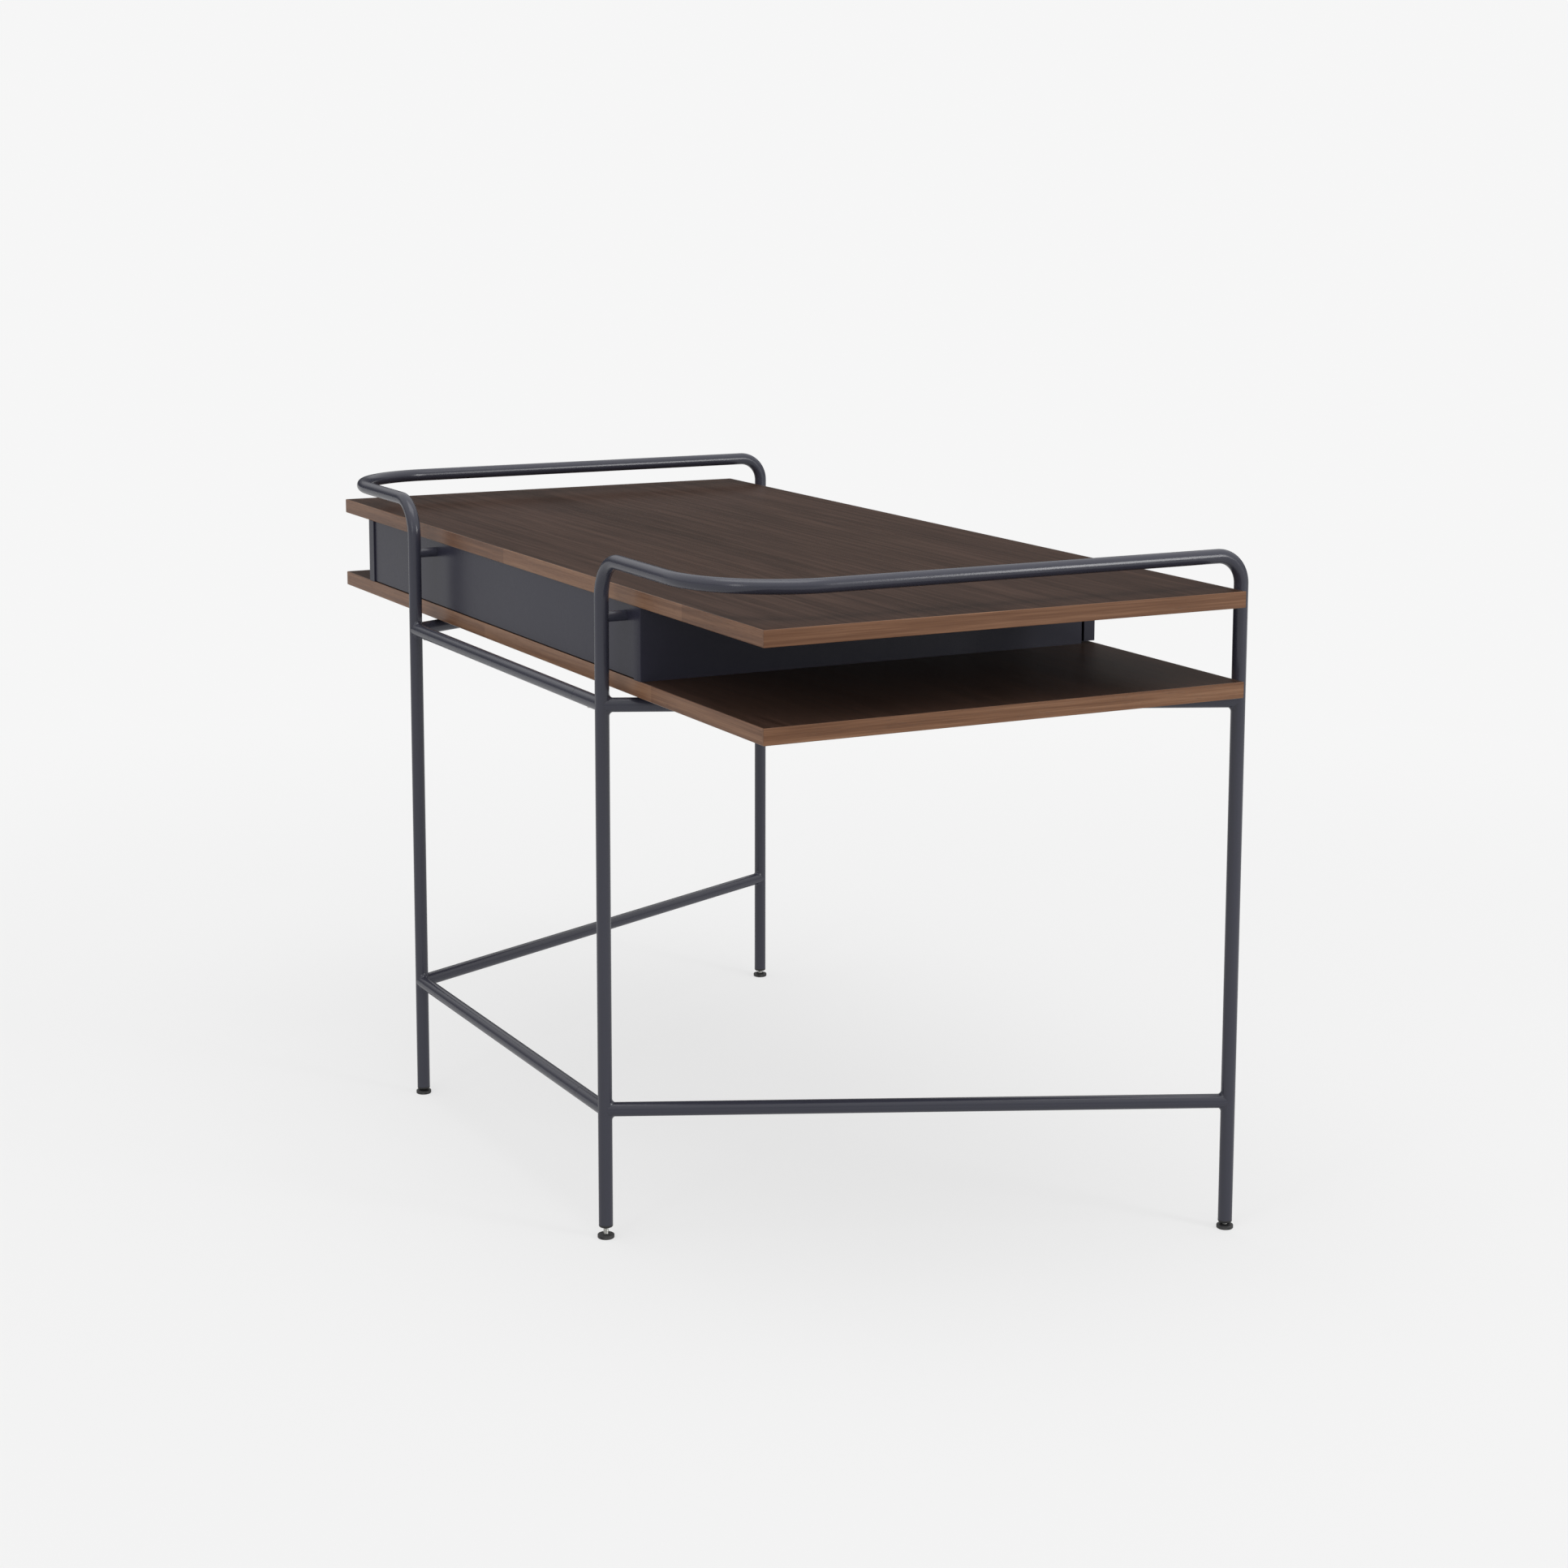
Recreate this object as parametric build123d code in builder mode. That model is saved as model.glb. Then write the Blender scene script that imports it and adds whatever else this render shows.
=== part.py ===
from build123d import *

import math
import os

# Two-tier writing desk: two walnut boards with a lacquered drawer case between
# them, carried by two bent-tube side frames that rise past the boards as rails.
# Millimetres. +Z is up, the sitter's side is -Y, and the origin is on the floor
# under the middle of the boards.

# ---------------------------------------------------------------- boards
BOARD_LENGTH = 1250.0
BOARD_DEPTH = 584.0
BOARD_THICKNESS = 18.0
DESK_HEIGHT = 736.0
CLEAR_GAP = 81.0
BAND_THICKNESS = 2.0
BAND_CHAMFER = 0.6
MITRE_GAP = 0.1

UPPER_BOTTOM = DESK_HEIGHT - BOARD_THICKNESS
LOWER_TOP = UPPER_BOTTOM - CLEAR_GAP
LOWER_BOTTOM = LOWER_TOP - BOARD_THICKNESS
BACK_EDGE = BOARD_DEPTH / 2
FRONT_EDGE = -BOARD_DEPTH / 2

# ---------------------------------------------------------------- tube frame
TUBE_RADIUS = 8.0
TUBE_WALL = 1.5
TUBE_BORE = TUBE_RADIUS - TUBE_WALL
COPE_CLEARANCE = 0.02
BACK_POST_X = 289.0
FRONT_LEG_X = 580.0
POST_Y = 318.0
RAIL_HEIGHT = 769.0
POST_BEND = 44.0
CORNER_BEND = 122.0
LEG_BEND = 32.0
LOWER_BAR_HEIGHT = 149.0
UPPER_BAR_HEIGHT = 607.0
WELD_FILLET = 4.6
WELD_BAR_RADIUS = 7.8
WELD_HALF_WIDTH = 6.1

STUB_REACH = 66.0
SEAM_WIDTH = 0.4
SPIGOT_RADIUS = 6.45
SPIGOT_START = 14.0
SPIGOT_LENGTH = 90.0
GRUB_REACH = 34.0
GRUB_RADIUS = 2.45
GRUB_PROUD = 0.8
GRUB_LENGTH = 4.0

# ---------------------------------------------------------------- feet
# Height of each tube's end above the floor: the feet are screwed out unevenly.
LEG_END = {
    ("left", "back"): 12.8,
    ("right", "back"): 6.2,
    ("left", "front"): 7.2,
    ("right", "front"): 8.8,
}
PLUG_FLANGE = 3.0
PLUG_LENGTH = 30.0
STUD_RADIUS = 2.95
STUD_TOP = 34.0
THREAD_CLEARANCE = 0.07
PAD_RADIUS = 9.5
PAD_RIM = 4.4
HUB_RADIUS = 5.6
HUB_TOP = 5.2
STUD_FLANGE_RADIUS = 4.2
STUD_FLANGE_THICKNESS = 1.5
STUD_FLANGE_HEIGHT = 2.5

# ---------------------------------------------------------------- drawer case
CASE_LEFT = -333.0
CASE_RIGHT = 533.0
CASE_MIDDLE = (CASE_LEFT + CASE_RIGHT) / 2
PANEL_THICKNESS = 18.0
PANEL_FRONT = -274.0
BACK_PANEL_THICKNESS = 12.0
BACK_PANEL_RECESS = 2.0
BACK_PANEL_SHADOW_GAP = 1.0
BACK_PANEL_OUTER = BACK_EDGE - BACK_PANEL_RECESS
BACK_PANEL_INNER = BACK_PANEL_OUTER - BACK_PANEL_THICKNESS
PANEL_POSITIONS = (
    CASE_LEFT + PANEL_THICKNESS / 2,
    CASE_MIDDLE,
    CASE_RIGHT - PANEL_THICKNESS / 2,
)
WOOD_FIT = 0.05

DOWEL_RADIUS = 3.0
DOWEL_LENGTH = 30.0
DOWEL_DEPTH_IN_BOARD = 12.0
DOWEL_Y = (-225.0, 10.0, 235.0)
BACK_DOWEL_HEIGHTS = (657.0, 698.0)
PANEL_SCREW_Y = (-190.0, 205.0)
PANEL_SCREW_LENGTH = 50.0

# ---------------------------------------------------------------- drawers
FRONT_THICKNESS = 15.0
FRONT_GAP = 2.5
FRONT_SPACING = 3.0
FRONT_INNER = FRONT_EDGE + FRONT_THICKNESS
FINGER_WIDTH = 84.0
FINGER_DEPTH = 17.0
DRAWER_LENGTH = 500.0
DRAWER_BOARD = 12.0
DRAWER_BOTTOM_THICKNESS = 4.0
DRAWER_GROOVE = 6.0
DRAWER_LOW = LOWER_TOP + 7.0
DRAWER_HIGH = UPPER_BOTTOM - 10.0
BOTTOM_PANEL_HEIGHT = DRAWER_LOW + 8.0
DRAWER_BACK_FACE = FRONT_INNER + DRAWER_LENGTH
DRAWER_TRAVEL = 330.0

# ---------------------------------------------------------------- runners
RUNNER_WIDTH = 12.7
RUNNER_HEIGHT = 35.0
RUNNER_SHEET = 1.2
RUNNER_LENGTH = 450.0
RUNNER_FRONT = -270.0
RUNNER_AXIS_HEIGHT = 672.0
BALL_RADIUS = 2.4
BALL_CLEARANCE = 0.05
BALL_COUNT = 4
BALL_SPACING = 32.0
CAGE_LENGTH = BALL_COUNT * BALL_SPACING - 10.0
CAGE_CENTRE = RUNNER_FRONT - DRAWER_TRAVEL + RUNNER_LENGTH - CAGE_LENGTH / 2 + DRAWER_TRAVEL / 2 - 1.0
SCREW_SHANK = 1.75
SCREW_HEAD = 3.6
RUNNER_SCREW_Y = (-235.0, -60.0, 140.0)
RUNNER_SCREW_LENGTH = 9.8
FRONT_SCREW_LENGTH = 22.0

SIDES = {"left": -1, "right": 1}

os.makedirs("parts", exist_ok=True)


def write_piece(piece, name):
    """Label a finished piece and write it as its own STEP file."""
    piece.part.label = name
    export_step(piece.part, f"parts/{name}.step")


def plan_angle(start, end):
    """Angle of the level line from start to end, in degrees from +X."""
    return math.degrees(math.atan2(end[1] - start[1], end[0] - start[0]))


def back_post(side):
    """Plan position of a side frame's back post."""
    return (SIDES[side] * BACK_POST_X, POST_Y)


def front_leg(side):
    """Plan position of a side frame's front leg."""
    return (SIDES[side] * FRONT_LEG_X, -POST_Y)


# ================================================================ side frames
def make_side_frame(side):
    """One tube: back post, rail around the board's end, and front leg."""
    back_x, back_y = back_post(side)
    front_x, front_y = front_leg(side)
    back_start = LEG_END[side, "back"] + PLUG_FLANGE
    front_end = LEG_END[side, "front"] + PLUG_FLANGE
    with BuildPart() as side_frame:
        with BuildLine():
            FilletPolyline(
                (back_x, back_y, back_start),
                (back_x, back_y, RAIL_HEIGHT),
                (front_x, back_y, RAIL_HEIGHT),
                (front_x, front_y, RAIL_HEIGHT),
                (front_x, front_y, front_end),
                radius=[POST_BEND, CORNER_BEND, LEG_BEND],
            )
        with BuildSketch(Plane(origin=(back_x, back_y, back_start))):
            Circle(TUBE_RADIUS)
            Circle(TUBE_BORE, mode=Mode.SUBTRACT)
        sweep()
    write_piece(side_frame, f"side_frame_{side}")


# The flare of weld where a bar meets a post, drawn along +X from the post's axis:
# two rods filleted together, less the post. The bar's rod is a little slim,
# because two rods of one radius leave a fillet nowhere to end, and the flare is
# left blunt at its ends.
with BuildPart() as weld_flare:
    Cylinder(TUBE_RADIUS, 5 * TUBE_RADIUS)
    with BuildSketch(Plane.YZ):
        Circle(WELD_BAR_RADIUS)
    extrude(amount=3 * TUBE_RADIUS)
    saddle = weld_flare.edges().filter_by(GeomType.BSPLINE)
    fillet(saddle, WELD_FILLET)
    Cylinder(TUBE_RADIUS + COPE_CLEARANCE, 6 * TUBE_RADIUS, mode=Mode.SUBTRACT)
    with BuildSketch(Plane.XY.offset(-2 * TUBE_RADIUS)):
        Rectangle(6 * TUBE_RADIUS, 2 * WELD_HALF_WIDTH)
    extrude(amount=4 * TUBE_RADIUS, mode=Mode.INTERSECT)


def make_side_bar(side, level, height):
    """A straight bar from back post to front leg, coped to the tubes it meets."""
    start = (*back_post(side), height)
    end = (*front_leg(side), height)
    run = Vector(end) - Vector(start)
    with BuildPart() as side_bar:
        with BuildSketch(Plane(origin=start, z_dir=run)):
            Circle(TUBE_RADIUS)
        extrude(amount=run.length)
        with Locations(Location(start, (0, 0, plan_angle(start, end)))):
            add(weld_flare.part)
        with Locations(Location(end, (0, 0, plan_angle(end, start)))):
            add(weld_flare.part)
        with BuildSketch(Plane(origin=start, z_dir=run)):
            Circle(TUBE_BORE)
        extrude(amount=run.length, mode=Mode.SUBTRACT)
        with Locations(start, end):
            Cylinder(TUBE_RADIUS + COPE_CLEARANCE, 4 * TUBE_RADIUS, mode=Mode.SUBTRACT)
        with Locations(Location(start, (0, -90 * SIDES[side], 0))):
            Cylinder(
                TUBE_RADIUS + COPE_CLEARANCE,
                STUB_REACH,
                align=(Align.CENTER, Align.CENTER, Align.MIN),
                mode=Mode.SUBTRACT,
            )
    write_piece(side_bar, f"side_bar_{level}_{side}")


def make_back_bar(level, height):
    """A loose bar across the back, between the stubs welded to the posts."""
    half_length = BACK_POST_X - STUB_REACH
    with BuildPart() as back_bar:
        with BuildSketch(Plane.YZ.offset(-half_length)):
            with Locations((POST_Y, height)):
                Circle(TUBE_RADIUS)
                Circle(TUBE_BORE, mode=Mode.SUBTRACT)
        extrude(amount=2 * half_length)
    write_piece(back_bar, f"back_bar_{level}")


BAR_LEVELS = {"lower": LOWER_BAR_HEIGHT, "upper": UPPER_BAR_HEIGHT}

for side_name in SIDES:
    make_side_frame(side_name)
    for level_name, level_height in BAR_LEVELS.items():
        make_side_bar(side_name, level_name, level_height)

for level_name, level_height in BAR_LEVELS.items():
    make_back_bar(level_name, level_height)

# Each stub, spigot and grub screw is drawn once along +X from its post's axis
# and set on the four back joints, turned to face the middle of the desk.
back_joints = [
    Location((sign * BACK_POST_X, POST_Y, height), (0, 0, 90 + 90 * sign))
    for sign in SIDES.values()
    for height in BAR_LEVELS.values()
]

with BuildPart() as stub:
    with BuildSketch(Plane.YZ):
        Circle(TUBE_RADIUS)
    extrude(amount=STUB_REACH - SEAM_WIDTH)
    add(weld_flare.part)
    with BuildSketch(Plane.YZ):
        Circle(TUBE_BORE)
    extrude(amount=STUB_REACH, mode=Mode.SUBTRACT)
    Cylinder(TUBE_RADIUS + COPE_CLEARANCE, 4 * TUBE_RADIUS, mode=Mode.SUBTRACT)
    with Locations((GRUB_REACH, 0, -TUBE_RADIUS)):
        Cylinder(GRUB_RADIUS + WOOD_FIT, TUBE_RADIUS, mode=Mode.SUBTRACT)

with BuildPart() as bar_stubs:
    with Locations(*back_joints):
        add(stub.part)
write_piece(bar_stubs, "bar_stubs")

with BuildPart() as spigot:
    with BuildSketch(Plane.YZ.offset(SPIGOT_START)):
        Circle(SPIGOT_RADIUS)
    extrude(amount=SPIGOT_LENGTH)
    chamfer(spigot.edges().filter_by(GeomType.CIRCLE), 0.8)
    with Locations((GRUB_REACH, 0, -TUBE_RADIUS)):
        Cylinder(GRUB_RADIUS + WOOD_FIT, 2 * (GRUB_LENGTH - GRUB_PROUD) + 0.1, mode=Mode.SUBTRACT)

with BuildPart() as bar_spigots:
    with Locations(*back_joints):
        add(spigot.part)
write_piece(bar_spigots, "bar_spigots")

with BuildPart() as grub_screw:
    with BuildSketch(Plane((GRUB_REACH, 0, -TUBE_RADIUS - GRUB_PROUD))):
        Circle(GRUB_RADIUS)
    extrude(amount=GRUB_LENGTH)
    chamfer(grub_screw.edges().filter_by(GeomType.CIRCLE), 0.4)
    with BuildSketch(Plane((GRUB_REACH, 0, -TUBE_RADIUS - GRUB_PROUD))):
        RegularPolygon(1.25, 6, major_radius=False)
    extrude(amount=GRUB_LENGTH / 2, mode=Mode.SUBTRACT)

with BuildPart() as bar_grub_screws:
    with Locations(*back_joints):
        add(grub_screw.part)
write_piece(bar_grub_screws, "bar_grub_screws")

# ================================================================ feet
leg_places = {
    (side_name, end_name): (back_post if end_name == "back" else front_leg)(side_name)
    for side_name in SIDES
    for end_name in ("back", "front")
}

with BuildPart() as leg_plug:
    with BuildSketch():
        Circle(TUBE_RADIUS)
    extrude(amount=PLUG_FLANGE)
    fillet(leg_plug.edges().sort_by(Axis.Z)[0], 1.8)
    with BuildSketch(Plane.XY.offset(PLUG_FLANGE)):
        Circle(TUBE_BORE - WOOD_FIT)
    extrude(amount=PLUG_LENGTH - PLUG_FLANGE)
    Cylinder(STUD_RADIUS + THREAD_CLEARANCE, 3 * PLUG_LENGTH, mode=Mode.SUBTRACT)

with BuildPart() as leg_plugs:
    with Locations(*[(*leg_places[key], LEG_END[key]) for key in leg_places]):
        add(leg_plug.part)
write_piece(leg_plugs, "leg_plugs")

for (side_name, end_name), (foot_x, foot_y) in leg_places.items():
    foot_plane = Plane(origin=(foot_x, foot_y, 0), x_dir=(1, 0, 0), z_dir=(0, -1, 0))
    flange_top = STUD_FLANGE_HEIGHT + STUD_FLANGE_THICKNESS
    bore = STUD_RADIUS + THREAD_CLEARANCE
    with BuildPart() as foot_pad:
        with BuildSketch(foot_plane):
            with BuildLine():
                Polyline(
                    (0, 0),
                    (PAD_RADIUS - 0.7, 0),
                    (PAD_RADIUS, 0.7),
                    (PAD_RADIUS, PAD_RIM - 1.2),
                )
                RadiusArc((PAD_RADIUS, PAD_RIM - 1.2), (PAD_RADIUS - 1.2, PAD_RIM), -1.2)
                Polyline(
                    (PAD_RADIUS - 1.2, PAD_RIM),
                    (HUB_RADIUS + 0.6, PAD_RIM + 0.4),
                    (HUB_RADIUS, HUB_TOP),
                    (bore, HUB_TOP),
                    (bore, flange_top + WOOD_FIT),
                    (STUD_FLANGE_RADIUS + WOOD_FIT, flange_top + WOOD_FIT),
                    (STUD_FLANGE_RADIUS + WOOD_FIT, STUD_FLANGE_HEIGHT - WOOD_FIT),
                    (0, STUD_FLANGE_HEIGHT - WOOD_FIT),
                    (0, 0),
                )
            make_face()
        revolve(axis=Axis((foot_x, foot_y, 0), (0, 0, 1)))
    write_piece(foot_pad, f"foot_pad_{end_name}_{side_name}")

    with BuildPart() as foot_stud:
        with BuildSketch(Plane((foot_x, foot_y, STUD_FLANGE_HEIGHT))):
            Circle(STUD_FLANGE_RADIUS)
        extrude(amount=STUD_FLANGE_THICKNESS)
        with BuildSketch(Plane((foot_x, foot_y, flange_top))):
            Circle(STUD_RADIUS)
        extrude(amount=STUD_TOP - flange_top)
        chamfer(foot_stud.edges().sort_by(Axis.Z)[-1], 0.7)
        with BuildSketch(Plane((foot_x, foot_y, STUD_TOP))):
            Rectangle(2 * STUD_RADIUS + 1, 1.0)
        extrude(amount=-1.6, mode=Mode.SUBTRACT)
    write_piece(foot_stud, f"foot_stud_{end_name}_{side_name}")

# ================================================================ board lugs
# Flat tabs welded on the upper side bars, each with a wood screw beside the bar.
LUG_THICKNESS = LOWER_BOTTOM - UPPER_BAR_HEIGHT - TUBE_RADIUS
LUG_SINK = 0.5
LUG_ALONG = 24.0
LUG_ACROSS = 34.0
LUG_OFFSET = 9.0
LUG_SCREW_OFFSET = 18.0
LUG_FRACTIONS = (0.2, 0.82)
LUG_SCREW_LENGTH = 16.0

lug_places = []
for side_name, side_sign in SIDES.items():
    post_x, post_y = back_post(side_name)
    leg_x, leg_y = front_leg(side_name)
    inward_angle = plan_angle(back_post(side_name), front_leg(side_name)) - 90 * side_sign
    for fraction in LUG_FRACTIONS:
        lug_x = post_x + fraction * (leg_x - post_x)
        lug_y = post_y + fraction * (leg_y - post_y)
        lug_places.append(Location((lug_x, lug_y, UPPER_BAR_HEIGHT), (0, 0, inward_angle)))

with BuildPart() as lug:
    with BuildSketch(Plane.XY.offset(TUBE_RADIUS - LUG_SINK)):
        with Locations((LUG_OFFSET, 0)):
            RectangleRounded(LUG_ACROSS, LUG_ALONG, 4)
        with Locations((LUG_SCREW_OFFSET, 0)):
            Circle(SCREW_SHANK + 0.5, mode=Mode.SUBTRACT)
    extrude(amount=LUG_THICKNESS + LUG_SINK)
    with BuildSketch(Plane.XZ.offset(-LUG_ALONG)):
        Circle(TUBE_RADIUS + COPE_CLEARANCE)
    extrude(amount=2 * LUG_ALONG, mode=Mode.SUBTRACT)

with BuildPart() as board_lugs:
    with Locations(*lug_places):
        add(lug.part)
write_piece(board_lugs, "board_lugs")


def round_head_screw(length):
    """A pan-head screw along +Z: the head's seat at Z 0, the tip at Z length."""
    with BuildPart() as screw:
        with BuildSketch(Plane.XY.offset(-2.2)):
            Circle(SCREW_HEAD)
        extrude(amount=2.2)
        fillet(screw.edges().sort_by(Axis.Z)[0], 1.2)
        with BuildSketch():
            Circle(SCREW_SHANK)
        extrude(amount=length)
        chamfer(screw.edges().sort_by(Axis.Z)[-1], 1.2)
        with BuildSketch(Plane.XY.offset(-2.2)):
            Rectangle(3.6, 0.9)
            Rectangle(0.9, 3.6)
        extrude(amount=1.2, mode=Mode.SUBTRACT)
    return screw.part


lug_screw = round_head_screw(LUG_SCREW_LENGTH)
lug_screw_heights = TUBE_RADIUS - LUG_SINK
with BuildPart() as lug_screws:
    with Locations(*[place * Location((LUG_SCREW_OFFSET, 0, lug_screw_heights)) for place in lug_places]):
        add(lug_screw)
write_piece(lug_screws, "lug_screws")

# ================================================================ standoffs
# Short rods from the back posts to the case's back panel, held from inside.
STANDOFF_RADIUS = 6.0
STANDOFF_HEIGHT = 704.0
STANDOFF_SCREW_RADIUS = 2.5
STANDOFF_SCREW_GRIP = 26.0
standoff_places = [
    Location((sign * BACK_POST_X, BACK_PANEL_OUTER, STANDOFF_HEIGHT)) for sign in SIDES.values()
]

with BuildPart() as standoff:
    with BuildSketch(Plane.XZ):
        Circle(STANDOFF_RADIUS)
    extrude(amount=-(POST_Y - BACK_PANEL_OUTER))
    with Locations((0, POST_Y - BACK_PANEL_OUTER, 0)):
        Cylinder(TUBE_RADIUS + COPE_CLEARANCE, 4 * TUBE_RADIUS, mode=Mode.SUBTRACT)
    with BuildSketch(Plane.XZ):
        Circle(STANDOFF_SCREW_RADIUS + WOOD_FIT)
    extrude(amount=-15, mode=Mode.SUBTRACT)

with BuildPart() as post_standoffs:
    with Locations(*standoff_places):
        add(standoff.part)
write_piece(post_standoffs, "post_standoffs")

with BuildPart() as standoff_screw:
    with BuildSketch(Plane.XZ.offset(BACK_PANEL_THICKNESS)):
        Circle(1.8 * STANDOFF_SCREW_RADIUS)
    extrude(amount=3)
    fillet(standoff_screw.edges().sort_by(Axis.Y)[0], 1)
    with BuildSketch(Plane.XZ.offset(BACK_PANEL_THICKNESS)):
        Circle(STANDOFF_SCREW_RADIUS)
    extrude(amount=-STANDOFF_SCREW_GRIP)
    with BuildSketch(Plane.XZ.offset(BACK_PANEL_THICKNESS + 3)):
        RegularPolygon(1.6, 6, major_radius=False)
    extrude(amount=-2, mode=Mode.SUBTRACT)

with BuildPart() as standoff_screws:
    with Locations(*standoff_places):
        add(standoff_screw.part)
write_piece(standoff_screws, "standoff_screws")


# ================================================================ boards
def make_edge_bands(name, bottom):
    """Four mitred strips of solid walnut around a board, their arrises eased."""
    half_length = BOARD_LENGTH / 2
    half_depth = BOARD_DEPTH / 2
    with BuildPart() as edge_bands:
        with BuildSketch(Plane.XY.offset(bottom)):
            Rectangle(BOARD_LENGTH, BOARD_DEPTH)
            Rectangle(
                BOARD_LENGTH - 2 * BAND_THICKNESS,
                BOARD_DEPTH - 2 * BAND_THICKNESS,
                mode=Mode.SUBTRACT,
            )
        extrude(amount=BOARD_THICKNESS)
        outer_faces = edge_bands.faces().filter_by(Axis.X).group_by(SortBy.AREA)[-1]
        outer_faces += edge_bands.faces().filter_by(Axis.Y).group_by(SortBy.AREA)[-1]
        arrises = outer_faces.edges().filter_by(Plane.XY)
        chamfer(arrises, BAND_CHAMFER)
        corners = [(x, y) for x in (-half_length, half_length) for y in (-half_depth, half_depth)]
        for corner_x, corner_y in corners:
            mitre_angle = 45 if corner_x * corner_y > 0 else -45
            with BuildSketch(Plane.XY.offset(bottom)):
                with Locations((corner_x, corner_y)):
                    Rectangle(6 * BAND_THICKNESS, MITRE_GAP, rotation=mitre_angle)
            extrude(amount=BOARD_THICKNESS, mode=Mode.SUBTRACT)
    write_piece(edge_bands, name)


def start_board(bottom):
    """The board inside its edge bands, before any hole."""
    with BuildPart() as board:
        with BuildSketch(Plane.XY.offset(bottom)):
            Rectangle(BOARD_LENGTH - 2 * BAND_THICKNESS, BOARD_DEPTH - 2 * BAND_THICKNESS)
        extrude(amount=BOARD_THICKNESS)
    return board.part


def panel_screw(clearance=0.0):
    """A countersunk panel screw along +Z, or the hole for it with a clearance."""
    head, shank, thread = 5.0 + clearance, 3.5 + clearance, 2.9 + clearance
    tip = PANEL_SCREW_LENGTH + clearance
    with BuildPart() as screw:
        with BuildSketch(Plane.XZ):
            with BuildLine():
                Polyline(
                    (0, 0),
                    (head, 0),
                    (head, 0.8),
                    (shank, 4.0),
                    (shank, BOARD_THICKNESS),
                    (thread, BOARD_THICKNESS),
                    (thread, tip - 2),
                    (1.2, tip),
                    (0, tip),
                    (0, 0),
                )
            make_face()
        revolve(axis=Axis.Z)
        if not clearance:
            with BuildSketch():
                RegularPolygon(2, 6, major_radius=False)
            extrude(amount=3, mode=Mode.SUBTRACT)
    return screw.part


make_edge_bands("upper_edge_bands", UPPER_BOTTOM)
make_edge_bands("lower_edge_bands", LOWER_BOTTOM)

panel_screw_places = [(x, y, LOWER_BOTTOM) for x in PANEL_POSITIONS for y in PANEL_SCREW_Y]
dowel_places = [(x, y, UPPER_BOTTOM) for x in PANEL_POSITIONS for y in DOWEL_Y]
back_dowel_places = [
    Location((x, (BACK_PANEL_OUTER + BACK_PANEL_INNER) / 2, height), (0, 90, 0))
    for x in (CASE_LEFT + PANEL_THICKNESS, CASE_RIGHT - PANEL_THICKNESS)
    for height in BACK_DOWEL_HEIGHTS
]

panel_screw_solid = panel_screw()
panel_screw_hole = panel_screw(WOOD_FIT)
upright_dowel_centre = DOWEL_DEPTH_IN_BOARD - DOWEL_LENGTH / 2
upright_dowels = [Location((x, y, z + upright_dowel_centre)) for x, y, z in dowel_places]


def drill_dowels(places):
    """Cut the holes for dowels out of the part being built."""
    with Locations(*places):
        Cylinder(DOWEL_RADIUS + WOOD_FIT, DOWEL_LENGTH + 1, mode=Mode.SUBTRACT)


with BuildPart() as upper_board:
    add(start_board(UPPER_BOTTOM))
    drill_dowels(upright_dowels)
write_piece(upper_board, "upper_board")

with BuildPart() as lower_board:
    add(start_board(LOWER_BOTTOM))
    with Locations(*panel_screw_places):
        add(panel_screw_hole, mode=Mode.SUBTRACT)
    with Locations(*[place * Location((LUG_SCREW_OFFSET, 0, 0)) for place in lug_places]):
        Cylinder(
            SCREW_SHANK + WOOD_FIT,
            LUG_SCREW_LENGTH + lug_screw_heights + 0.5,
            align=(Align.CENTER, Align.CENTER, Align.MIN),
            mode=Mode.SUBTRACT,
        )
write_piece(lower_board, "lower_board")

# ================================================================ drawer case
half_panel = PANEL_THICKNESS / 2
DRAWER_BAYS = {
    "left": (PANEL_POSITIONS[0] + half_panel, PANEL_POSITIONS[1] - half_panel),
    "right": (PANEL_POSITIONS[1] + half_panel, PANEL_POSITIONS[2] - half_panel),
}
# Each runner stands on one wall of a bay and faces (+1 or -1 in X) into it.
runner_walls = [
    (wall_x, facing)
    for bay in DRAWER_BAYS.values()
    for wall_x, facing in zip(bay, (1, -1))
]


def runner_screw(clearance=0.0):
    """A flat-headed screw along +Z, or the hole for it with a clearance."""
    head, shank = 3.2 + clearance, SCREW_SHANK + clearance
    tip = RUNNER_SCREW_LENGTH + clearance
    with BuildPart() as screw:
        with BuildSketch(Plane.XZ):
            with BuildLine():
                Polyline(
                    (0, 0),
                    (head, 0),
                    (head, 0.3),
                    (shank, 1.8),
                    (shank, tip - 2),
                    (0.4, tip),
                    (0, tip),
                    (0, 0),
                )
            make_face()
        revolve(axis=Axis.Z)
        if not clearance:
            with BuildSketch():
                Rectangle(2.8, 0.7)
                Rectangle(0.7, 2.8)
            extrude(amount=0.9, mode=Mode.SUBTRACT)
    return screw.part


def case_screw_places(wall_x, facing):
    """Where a runner's screws enter the case, their heads flush in the sheet."""
    seat_x = wall_x + facing * RUNNER_SHEET
    return [Location((seat_x, y, RUNNER_AXIS_HEIGHT), (0, -90 * facing, 0)) for y in RUNNER_SCREW_Y]


def slide_screw_places(wall_x, facing):
    """Where a runner's screws enter the drawer, their heads flush in the sheet."""
    seat_x = wall_x + facing * (RUNNER_WIDTH - RUNNER_SHEET)
    return [Location((seat_x, y, RUNNER_AXIS_HEIGHT), (0, 90 * facing, 0)) for y in RUNNER_SCREW_Y]


runner_screw_solid = runner_screw()
runner_screw_hole = runner_screw(WOOD_FIT)

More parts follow.
